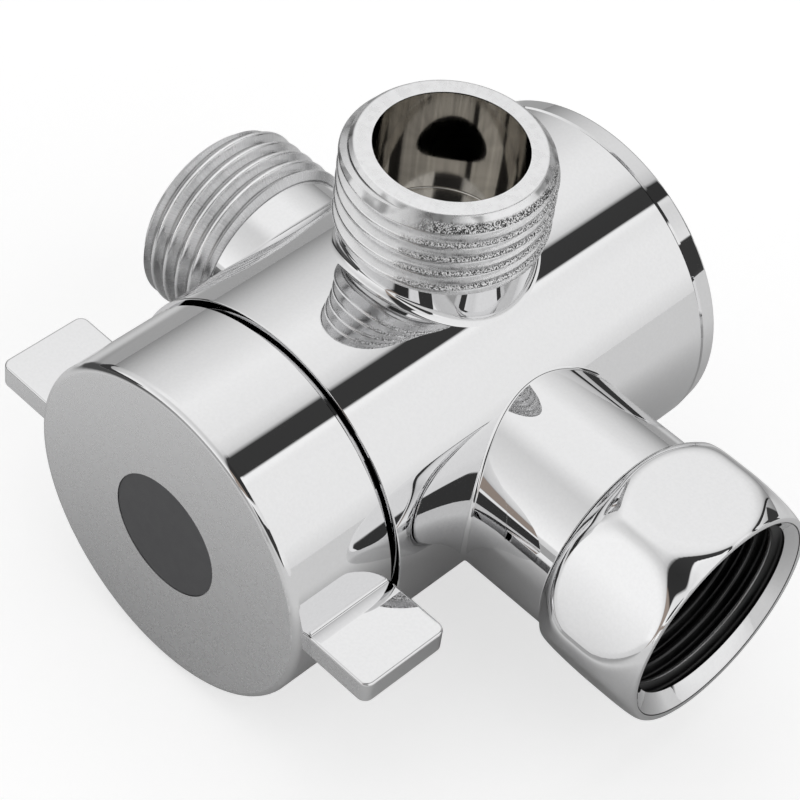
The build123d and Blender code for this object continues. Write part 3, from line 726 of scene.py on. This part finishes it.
def circle(bm, radius, level):
    """A closed ring of points round the Z axis."""
    ring = [
        bm.verts.new(Matrix.Rotation(2 * math.pi * k / turn_segments, 3, "Z") @ Vector((radius, 0, level)))
        for k in range(turn_segments)
    ]
    return ring + ring[:1]


def skin_rings(bm, rings):
    """Joins each ring of points to the next one with faces, and drops doubled corners."""
    for lower, upper in zip(rings, rings[1:]):
        for k in range(turn_segments):
            corners = [lower[k], upper[k], upper[k + 1], lower[k + 1]]
            corners = [c for n, c in enumerate(corners) if c not in corners[:n]]
            if len(corners) > 2:
                bm.faces.new(corners)


def turned(name, outline, place, about, slots, slot=0):
    """Sweeps a closed outline of (radius, level) points round the axis of a place."""
    bm = bmesh.new()
    rings = []
    for radius, level in outline + outline[:1]:
        if len(rings) == len(outline):
            rings.append(rings[0])
        elif radius == 0:
            rings.append([bm.verts.new((0, 0, level))] * (turn_segments + 1))
        else:
            rings.append(circle(bm, radius, level))
    skin_rings(bm, rings)
    bmesh.ops.transform(bm, matrix=place, verts=bm.verts)
    tag = bm.faces.layers.int.new(axis_tag)
    for face in bm.faces:
        face[tag] = about
        face.material_index = slot
        face.smooth = True
    return new_piece(name, bm, slots)


print(turn_segments, "faces round each turned piece")


# %% Places on the valve
def facing(heading, start):
    """A place at this point whose Z axis runs along one of the frame's axes."""
    heading = Vector(heading)
    side = Vector((heading.z, heading.x, heading.y))
    turn = Matrix((side, heading.cross(side), heading)).transposed().to_4x4()
    return Matrix.Translation(start) @ turn


body_x = top_port_x
barrel_place = facing((0, 1, 0), (body_x, 0, 0))
top_place = facing((0, 0, 1), (body_x, top_port_y, 0))
side_place = facing((-1, 0, 0), (body_x, 0, 0))
inlet_place = facing((1, 0, 0), (0, 0, 0))
places = [barrel_place, top_place, side_place, inlet_place]
ABOUT_BARREL, ABOUT_TOP, ABOUT_SIDE, ABOUT_INLET, IS_THREAD = range(5)
print("body axis at x =", round(body_x / mm, 2), "mm")

# %% [markdown]
# ## Joining, boring and true normals
#
# Boolean modifiers join and bore the turned shapes, as a foundry and a lathe would. The
# manifold solver keeps every result closed, so the next cut finds a proper solid. Booleans
# leave long thin faces along each crease, and averaged normals on those would smear every
# reflection. A turned surface has only one right normal at a point: it keeps its lean
# along the axis, and points straight out from it. So after the last cut each corner is
# given that normal. Where faces meet softly, the larger one decides the lean, so that a
# fine rounded edge doesn't bend the long wall beside it.

# %% Join and cut
crease = math.radians(35)


def combine(piece, tool, operation):
    """Joins a tool to a piece, or cuts it out, and clears the tool away."""
    change = piece.modifiers.new("combine", "BOOLEAN")
    change.operation = operation
    change.solver = "MANIFOLD"
    change.object = tool
    bpy.context.view_layer.update()
    shaped = piece.evaluated_get(bpy.context.evaluated_depsgraph_get())
    mesh = bpy.data.meshes.new_from_object(shaped)
    piece.modifiers.clear()
    piece.data = mesh
    bpy.data.objects.remove(tool)


def true_normals(piece):
    """Gives each corner the normal of the surface that was turned there."""
    mesh = piece.data
    mesh.shade_smooth()
    mesh.set_sharp_from_angle(angle=crease)
    tags = [tag.value for tag in mesh.attributes[axis_tag].data]
    normals = [corner.vector.copy() for corner in mesh.corner_normals]
    round_vertex = [[] for vertex in mesh.vertices]
    for face in mesh.polygons:
        for vertex in face.vertices:
            round_vertex[vertex].append(face)
    for face in mesh.polygons:
        about = tags[face.index]
        if about == IS_THREAD:
            continue
        origin, heading = places[about].translation, places[about].col[2].to_3d()
        for corner in face.loop_indices:
            vertex = mesh.loops[corner].vertex_index
            fan = [
                other for other in round_vertex[vertex]
                if tags[other.index] == about and other.normal.dot(face.normal) > math.cos(crease)
            ] or [face]
            fan_area = sum(other.area for other in fan)
            lean = sum(other.normal.dot(heading) * other.area for other in fan) / fan_area
            out = mesh.vertices[vertex].co - origin
            out -= heading * out.dot(heading)
            side = math.copysign(math.sqrt(max(0, 1 - lean * lean)), face.normal.dot(out))
            normals[corner] = heading * lean + out.normalized() * side
    mesh.normals_split_custom_set(normals)


print("creases stay sharp from", round(math.degrees(crease)), "degrees")

# %% [markdown]
# ## The pipe threads
#
# All three ports carry the half inch pipe thread: fourteen turns to the inch, 55 degrees
# between the flanks, crests and roots rounded alike. One turn's section, repeated and
# lifted by one pitch as it goes round, is the thread itself. As a long rod it is a tap for
# the nut, and cut out of a sleeve it becomes the die that threads a port.

# %% Cut a thread
thread_pitch = 25.4 * mm / 14
flank_angle = math.radians(27.5)
section_steps = 6
cone_radius = 5 * mm


def thread_section(crest):
    """One turn of a rounded thread: points of (level, radius)."""
    sharp_height = thread_pitch / 2 / math.tan(flank_angle)
    rounding = (sharp_height - thread_depth) / 2 / (1 / math.sin(flank_angle) - 1)
    root = crest - thread_depth
    points = []
    for middle, centre, side in ((0, crest - rounding, 1), (thread_pitch / 2, root + rounding, -1)):
        for number in range(section_steps + 1):
            angle = (math.pi / 2 - flank_angle) * (2 * number / section_steps - 1)
            points.append((middle + rounding * math.sin(angle), centre + side * rounding * math.cos(angle)))
    return points


def threaded_rod(crest, start, end, place, slots, slot):
    """A rod with a right-hand thread all along it, and a cone at each end."""
    bm = bmesh.new()
    turns = math.ceil((end - start) / thread_pitch) + 1
    rings = [[bm.verts.new((0, 0, start))] * (turn_segments + 1)]
    for turn in range(-2, turns + 1):
        for level, radius in thread_section(crest):
            ring = []
            for k in range(turn_segments + 1):
                lifted = start + level + thread_pitch * (turn + k / turn_segments)
                reach = radius if start < lifted < end else cone_radius
                spoke = Matrix.Rotation(2 * math.pi * k / turn_segments, 3, "Z") @ Vector((reach, 0, 0))
                ring.append(bm.verts.new((spoke.x, spoke.y, min(max(lifted, start), end))))
            rings.append(ring)
    rings.append([bm.verts.new((0, 0, end))] * (turn_segments + 1))
    skin_rings(bm, rings)
    bmesh.ops.transform(bm, matrix=place, verts=bm.verts)
    tag = bm.faces.layers.int.new(axis_tag)
    for face in bm.faces:
        face[tag] = IS_THREAD
        face.material_index = slot
    return new_piece("threaded_rod", bm, slots)


print("pitch", round(thread_pitch / mm, 3), "mm")

# %% [markdown]
# ## The valve body
#
# One brass casting: a barrel along Y, a threaded port up and one to the left, and a short
# branch to the nut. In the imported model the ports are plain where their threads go, so
# this finer body takes that node's place. It has the same outside, the same water
# passages and the same bore for the cartridge.

# %% Sizes of the body
body_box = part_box("valve_body")
cap_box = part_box("rear_cap")
port_reach = body_box[1].z
body_radius = (cap_box[1].z - cap_box[0].z) / 2
collar_front = body_box[0].y
body_rear = body_box[1].y
spigot_end = body_box[1].x
nut_clearance = 0.25 * mm
branch_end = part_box("swivel_nut")[0].x - nut_clearance

body_front = -20.05 * mm
collar_radius = 16.6 * mm
neck_radius = 9.45 * mm
thread_foot = 20.2 * mm
foot_chamfer = 0.6 * mm
foot_overlap = 0.05 * mm
crest_relief = 0.02 * mm
port_bore_radius = 7.38 * mm
port_floor = 17.7 * mm
outlet_passage_radius = 3.25 * mm
inlet_passage_radius = 4.3 * mm
passage_end = 5.6 * mm
past = 1 * mm
branch_radius = 11.04 * mm
spigot_radius = 8.2 * mm
spigot_bore_radius = 6.0 * mm
fine_edge = 0.14 * mm
corner_points = corner_steps + 1
body_slots = [body_chrome, thread_finish, rim_finish, bore_finish]
POLISHED, THREADED, RIM, BORE = range(4)
print("body radius", round(body_radius / mm, 2), "mm, port reach", round(port_reach / mm, 2), "mm")


# %% Turn and thread a port
def threaded_port(place, about):
    """A port's blank with its neck and lead-in, and the thread cut into it."""
    blank = turned("port", [(0, 0), (neck_radius, 0)] + round_corners([
        (neck_radius, thread_foot), (thread_radius, thread_foot + foot_chamfer),
        (thread_radius, port_reach - thread_lead), (rim_radius, port_reach),
        (port_bore_radius - past, port_reach),
    ], fine_edge)[1:-1] + [(0, port_reach)], place, about, body_slots)
    for face in blank.data.polygons:
        level = (place.inverted() @ face.center).z
        if level > port_reach - thread_lead:
            face.material_index = RIM
        elif level > thread_foot + foot_overlap:
            face.material_index = THREADED
    die_foot, die_end, die_radius = thread_foot - foot_overlap, port_reach + past, thread_radius + past
    die = turned("die", [
        (cone_radius, die_foot), (die_radius, die_foot), (die_radius, die_end), (cone_radius, die_end),
    ], place, IS_THREAD, body_slots, slot=THREADED)
    rod = threaded_rod(
        thread_radius - crest_relief, die_foot - 2 * thread_pitch, die_end + 2 * thread_pitch,
        place, body_slots, THREADED,
    )
    combine(die, rod, "DIFFERENCE")
    combine(blank, die, "DIFFERENCE")
    return blank


top_port = threaded_port(top_place, ABOUT_TOP)
side_port = threaded_port(side_place, ABOUT_SIDE)
print("port faces:", len(top_port.data.polygons))

# %% Join the casting
body = turned("body_casting", [(0, collar_front)] + round_corners([
    (collar_radius, collar_front), (collar_radius, body_front), (body_radius, body_front),
    (body_radius, body_rear),
], fine_edge) + [(0, body_rear)], barrel_place, ABOUT_BARREL, body_slots)
branch = turned("branch", [(0, body_x)] + round_corners([
    (branch_radius, body_x), (branch_radius, branch_end), (spigot_radius, branch_end),
    (spigot_radius, spigot_end),
], fine_edge)[1:] + [(0, spigot_end)], inlet_place, ABOUT_INLET, body_slots)
for part in (top_port, side_port, branch):
    combine(body, part, "UNION")
print("joined faces:", len(body.data.polygons))

# %% Bore the casting
inlet_step = spigot_end - 15 * mm
seat_level = -6.2 * mm
gland_step = -18.15 * mm
cartridge_bore_radius = 13.8 * mm
gland_bore_radius = 15.0 * mm
rear_cavity_radius = 15.4 * mm
rear_floor = 7.2 * mm
port_hole_radius = 2.5 * mm
port_hole_circle = 8.3 * mm
inlet_hole_radius = 3.2 * mm
inlet_floor = body_x - inlet_hole_radius

port_bore = [
    (0, passage_end), (outlet_passage_radius, passage_end), (outlet_passage_radius, port_floor),
] + round_corners([
    (outlet_passage_radius, port_floor), (port_bore_radius, port_floor), (port_bore_radius, port_reach),
    (port_bore_radius + past, port_reach + past), (0, port_reach + past),
], fine_edge)[corner_points:-corner_points] + [(0, port_reach + past)]
bores = [
    (port_bore, top_place, ABOUT_TOP),
    (port_bore, side_place, ABOUT_SIDE),
    ([(0, inlet_floor), (inlet_passage_radius, inlet_floor), (inlet_passage_radius, inlet_step),
      (spigot_bore_radius, inlet_step), (spigot_bore_radius, spigot_end + past), (0, spigot_end + past)],
     inlet_place, ABOUT_INLET),
    ([(0, seat_level), (cartridge_bore_radius, seat_level), (cartridge_bore_radius, gland_step),
      (gland_bore_radius, gland_step), (gland_bore_radius, collar_front - past), (0, collar_front - past)],
     barrel_place, ABOUT_BARREL),
    ([(0, rear_floor), (rear_cavity_radius, rear_floor), (rear_cavity_radius, body_rear + past),
      (0, body_rear + past)], barrel_place, ABOUT_BARREL),
]
for outline, place, about in bores:
    combine(body, turned("bore", outline, place, about, body_slots, slot=BORE), "DIFFERENCE")
for across, up, radius in (
    (0, 0, inlet_hole_radius), (-port_hole_circle, 0, port_hole_radius),
    (0, port_hole_circle, port_hole_radius),
):
    hole_place = barrel_place.copy()
    hole_place.translation += Vector((across, 0, up))
    seat_hole = turned("hole", [(0, 0), (radius, 0), (radius, seat_level - past), (0, seat_level - past)],
                       hole_place, IS_THREAD, body_slots)
    combine(body, seat_hole, "DIFFERENCE")
true_normals(body)
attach(body, "valve")
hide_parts("valve_body")
print("body faces:", len(body.data.polygons))

# %% [markdown]
# ## Fillets of the casting
#
# Where an arm grows out of the barrel the casting has a small concave blend, and it shows
# as a thin line of light along the crease. A ball rolled round the crease gives its exact
# shape: the ball touches barrel and arm, and the blend is the arc between the two touching
# points. The arc's normals point to the ball's centre, so they need no averaging.

# %% Roll a ball
fillet_steps = 6
buried_reach = 1.2


def rolled_arc(centre, to_first, to_second, ball):
    """Points on a ball between its two touching directions, each with the blend's normal.

    One more point lies inside both walls, and closes the section.
    """
    section = []
    for step in range(fillet_steps + 1):
        out = to_first.slerp(to_second, step / fillet_steps)
        section.append((centre + out * ball, -out))
    return section + [(centre + (to_first + to_second) * ball * buried_reach, -to_second)]


def fillet_piece(name, bm, normals, finish):
    """A fillet's piece, with the normals that the ball gave its points."""
    bm.verts.index_update()
    normals = [normals[vertex] for vertex in bm.verts]
    piece = new_piece(name, bm, [finish])
    piece.data.shade_smooth()
    piece.data.normals_split_custom_set_from_vertices(normals)
    print(name, len(piece.data.polygons), "faces")
    return piece


# %% Fillets round the arms
def crease_fillet(name, place, arm_radius, ball):
    """The blend that a ball of this radius leaves between the barrel and an arm."""
    along, up = Vector((0, 1, 0)), place.col[2].to_3d()
    sideways = along.cross(up)
    bm = bmesh.new()
    rings, normals = [[] for point in range(fillet_steps + 2)], {}
    for k in range(turn_segments):
        angle = 2 * math.pi * k / turn_segments
        spoke = along * math.cos(angle) + sideways * math.sin(angle)
        aside = (arm_radius + ball) * math.sin(angle)
        height = math.sqrt((body_radius + ball) ** 2 - aside ** 2)
        centre = place.translation + spoke * (arm_radius + ball) + up * height
        to_barrel = -(sideways * aside + up * height) / (body_radius + ball)
        for ring, (point, normal) in zip(rings, rolled_arc(centre, to_barrel, -spoke, ball)):
            ring.append(bm.verts.new(point))
            normals[ring[-1]] = normal
    rings = [ring + ring[:1] for ring in rings]
    skin_rings(bm, rings + rings[:1])
    blend_piece = fillet_piece(name, bm, normals, body_chrome)
    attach(blend_piece, "valve")


for name, place, arm_radius, ball in (
    ("top_port_fillet", top_place, neck_radius, 1.0 * mm),
    ("side_port_fillet", side_place, neck_radius, 0.8 * mm),
    ("branch_fillet", inlet_place @ Matrix.Translation((0, 0, body_x)), branch_radius, 0.45 * mm),
):
    crease_fillet(name, place, arm_radius, ball)

# %% [markdown]
# ## The swivel nut
#
# A hexagon bar turned to a barrel shape at both ends, so that every flat is an oval with
# soft borders. The lower of two radii, the hexagon's and the barrel's, gives that shape in
# one formula, and a small blend where they cross gives the buffed edge.

# %% Shape the nut
nut_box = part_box("swivel_nut")
nut_back, nut_mouth = nut_box[0].x, nut_box[1].x
nut_apothem = (nut_box[1].z - nut_box[0].z) / 2
nut_ridge_radius = 2.0 * mm
nut_crown_radius = (nut_box[1].y - nut_box[0].y) / 2
nut_back_radius = 11.4 * mm
nut_mouth_radius = 11.9 * mm
nut_crown_back = 0.0 * mm
nut_crown_front = 1.6 * mm
nut_blend = 0.4 * mm
nut_hole_radius = 8.28 * mm
nut_shelf = -3.3 * mm
nut_relief_radius = 10.8 * mm
nut_rim = 0.6 * mm
nut_lead = nut_mouth - 1.6 * mm
nut_rows = 90
sixth = math.pi / 3
nut_slots = [nut_chrome, nut_inside]
OUTSIDE, INSIDE = range(2)


def hexagon_radius(angle):
    """How far a hexagon with rounded ridges, at 0 and at each sixth, reaches at this angle."""
    off_ridge = abs((angle + sixth / 2) % sixth - sixth / 2)
    corner = (nut_apothem - nut_ridge_radius) / math.cos(sixth / 2)
    flat_ends = sixth / 2 - math.atan((nut_apothem - nut_ridge_radius) * math.tan(sixth / 2) / nut_apothem)
    if off_ridge > flat_ends:
        return nut_apothem / math.cos(sixth / 2 - off_ridge)
    across = corner * math.sin(off_ridge)
    return corner * math.cos(off_ridge) + math.sqrt(nut_ridge_radius ** 2 - across ** 2)


def barrel_radius(level):
    """The turned outline: level at the crown, and an arc down to each end."""
    if nut_crown_back <= level <= nut_crown_front:
        return nut_crown_radius
    end, end_radius, crown = (
        (nut_back, nut_back_radius, nut_crown_back) if level < nut_crown_back
        else (nut_mouth, nut_mouth_radius, nut_crown_front)
    )
    drop = nut_crown_radius - end_radius
    arc = ((end - crown) ** 2 + drop ** 2) / (2 * drop)
    return nut_crown_radius - arc + math.sqrt(arc ** 2 - (level - crown) ** 2)


def blended_lower(first, second, blend):
    """The lower of two values, with a soft change from one to the other."""
    overlap = max(0, blend - abs(first - second)) / blend
    return min(first, second) - overlap ** 2 * blend / 4


print("nut", round(2 * nut_apothem / mm, 2), "mm across its flats")

# %% Make the nut
nut_rim_radius = nut_mouth_radius - nut_rim
nut_edge = 0.7 * fine_edge
painted_line_band = 0.05 * mm
tap_start = nut_shelf + 0.3 * mm
inner = round_corners([
    (nut_mouth_radius, nut_mouth - fine_edge), (nut_mouth_radius, nut_mouth), (nut_rim_radius, nut_mouth),
    (nut_crest_radius, nut_lead), (nut_crest_radius, 0), (nut_relief_radius, 0),
    (nut_relief_radius, nut_shelf), (nut_hole_radius, nut_shelf), (nut_hole_radius, nut_back),
    (nut_back_radius, nut_back), (nut_back_radius, nut_back + fine_edge),
], nut_edge)[corner_points:-corner_points]
bm = bmesh.new()
rings = []
for row in range(nut_rows + 1):
    level = nut_back + fine_edge + (nut_mouth - nut_back - 2 * fine_edge) * row / nut_rows
    ring = []
    for k in range(turn_segments):
        angle = 2 * math.pi * k / turn_segments
        reach = blended_lower(hexagon_radius(angle), barrel_radius(level), nut_blend)
        ring.append(bm.verts.new((reach * math.cos(angle), reach * math.sin(angle), level)))
    rings.append(ring + ring[:1])
rings += [circle(bm, radius, level) for radius, level in inner]
skin_rings(bm, rings + rings[:1])
bmesh.ops.transform(bm, matrix=inlet_place, verts=bm.verts)
tag = bm.faces.layers.int.new(axis_tag)
for face in bm.faces:
    face[tag] = IS_THREAD
    middle = face.calc_center_median()
    radius = math.hypot(middle.y, middle.z)
    inside = radius < nut_relief_radius + fine_edge and nut_back + fine_edge < middle.x < nut_lead
    # Painted shade: a thin band of faces at the mouth's inner corner takes the dark inside finish, a painted
    # dark line.
    painted_dark_line = middle.x > nut_lead and abs(radius - nut_rim_radius) < painted_line_band
    face.material_index = INSIDE if inside or painted_dark_line else OUTSIDE
nut = new_piece("nut", bm, nut_slots)
tap = threaded_rod(nut_thread_radius, tap_start, nut_mouth + 2 * thread_pitch, inlet_place, nut_slots, INSIDE)
combine(nut, tap, "DIFFERENCE")
nut.data.shade_smooth()
nut.data.set_sharp_from_angle(angle=crease)
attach(nut, "nut")
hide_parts("swivel_nut")
print("nut faces:", len(nut.data.polygons))

# %% [markdown]
# ## The knob's finish
#
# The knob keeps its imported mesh. It is mirror chrome all round, but its face is satin, so
# that it doesn't dazzle. One material does both: the true normal tells the face from the
# rest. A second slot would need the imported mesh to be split.

# %% Knob
face_bump = 0.0001 * mm


def knob_chrome():
    """Mirror chrome, with a satin face towards the user."""
    material, tree, shader, place = new_material("knob_chrome", metallic=1.0)
    plate = use_group(tree, plating, place, Clear=0.015, Hazy=0.04)
    brushed = use_group(tree, grain, place, Size=0.04 * mm, Clear=0.26, Hazy=0.3)
    normal = axes(tree, add(tree, "ShaderNodeNewGeometry").outputs["True Normal"])
    face = remap(tree, times(tree, normal["Y"], -1), 0.97, 0.999)
    pale = remap(tree, brushed["Tone"], 0.9, 1.0, 1.04, 1.055)
    grey(tree, shader, chrome_colour, blend(tree, face, plate["Tone"], pale))
    fill(tree, shader.inputs["Roughness"], blend(tree, face, plate["Roughness"], brushed["Roughness"]))
    waves = bump(tree, plate["Height"], 0.006 * mm)
    fill(tree, shader.inputs["Normal"], bump(tree, times(tree, face, brushed["Height"]), face_bump, waves))
    return material


knob_finish = knob_chrome()

# %% [markdown]
# ## Fillets of the wings
#
# The knob is a casting too, and each wing leaves it with a small blend above and below.
# The crease is straight here, so one section at each end of it is enough: the same ball
# gives the section, and four strips make one piece that turns with the knob.

# %% Make the strips
knob_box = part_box("handle")
knob_radius = 18 * mm
wing_level = 1.35 * mm
wing_edge = 0.3 * mm
wing_front_inset = 1.4 * mm
wing_rear_inset = 0.3 * mm
wing_front = knob_box[0].y + wing_front_inset + wing_edge
wing_rear = knob_box[1].y - wing_rear_inset - wing_edge
wing_ball = 0.35 * mm

bm = bmesh.new()
normals = {}
middle_level = wing_level + wing_ball
middle_reach = math.sqrt((knob_radius + wing_ball) ** 2 - middle_level ** 2)
for outward in (1, -1):
    for upward in (1, -1):
        centre = Vector((outward * middle_reach, 0, upward * middle_level))
        section = rolled_arc(centre, -centre.normalized(), Vector((0, 0, -upward)), wing_ball)
        ends = []
        for y in (wing_front, wing_rear):
            ends.append([bm.verts.new(point + Vector((body_x, y, 0))) for point, normal in section])
            normals.update({vertex: normal for vertex, (point, normal) in zip(ends[-1], section)})
        for k in range(len(section)):
            bm.faces.new([ends[0][k - 1], ends[0][k], ends[1][k], ends[1][k - 1]])
        bm.faces.new(ends[0])
        bm.faces.new(ends[1])
wing_fillets = fillet_piece("wing_fillets", bm, normals, knob_finish)
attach(wing_fillets, "selector")

# %% [markdown]
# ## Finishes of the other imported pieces
#
# Rubber, plastic, ceramic and the turned metals hide inside, and show only in a cut or
# through the nut's mouth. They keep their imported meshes. Two kinds of finish cover them
# all: an even grain for what was moulded or sintered, and fine lines for what was turned.

# %% Plain materials
def grained(name, colour, size, clear, hazy, depth, metallic=0.0):
    """A moulded, sintered or tumbled finish with a fine even grain."""
    material, tree, shader, place = new_material(name, metallic=metallic)
    fine_marks = use_group(tree, grain, place, Size=size, Clear=clear, Hazy=hazy)
    grey(tree, shader, colour, fine_marks["Tone"])
    fill(tree, shader.inputs["Roughness"], fine_marks["Roughness"])
    fill(tree, shader.inputs["Normal"], bump(tree, fine_marks["Height"], depth))
    return material


def lathed(name, colour, along, clear, hazy):
    """A turned metal finish, with lines at levels along one axis."""
    material, tree, shader, place = new_material(name, metallic=1.0)
    cuts = use_group(tree, lines, place, Along=axes(tree, place)[along], Spacing=0.12 * mm)
    haze = use_group(tree, grain, place, Size=0.3 * mm, Clear=clear, Hazy=hazy)
    grey(tree, shader, colour, times(tree, cuts["Tone"], haze["Tone"]))
    fill(tree, shader.inputs["Roughness"], haze["Roughness"])
    fill(tree, shader.inputs["Normal"], bump(tree, cuts["Height"], 0.01 * mm))
    return material


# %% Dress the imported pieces
finishes = {
    "chrome_body": body_chrome,
    "chrome_handle": knob_finish,
    "grey_index": grained("index_grey", (0.095, 0.096, 0.1), 0.08 * mm, 0.42, 0.55, 0.003 * mm),
    "black_rubber": grained("black_rubber", (0.028, 0.028, 0.028), 0.12 * mm, 0.55, 0.75, 0.01 * mm),
    "white_acetal": grained("white_acetal", (0.82, 0.82, 0.79), 0.2 * mm, 0.35, 0.45, 0.006 * mm),
    "white_ceramic": grained("white_ceramic", (0.88, 0.87, 0.84), 0.1 * mm, 0.12, 0.2, 0.002 * mm),
    "plain_brass": lathed("plain_brass", (0.78, 0.58, 0.27), "Y", 0.22, 0.34),
    "plain_steel": lathed("plain_steel", (0.6, 0.6, 0.61), "X", 0.24, 0.36),
}
slots = {part["node"]: part["material_slot"] for part in frame["record"]["subparts"]}
for name, node_object in nodes.items():
    if slots[name] in finishes:
        node_object.data.materials.clear()
        node_object.data.materials.append(finishes[slots[name]])
print("dressed with", len(finishes), "finishes")

# %% [markdown]
# ## Last update

# The looks must stay inside the imported model's box.

# %% Update the scene
bpy.context.view_layer.update()
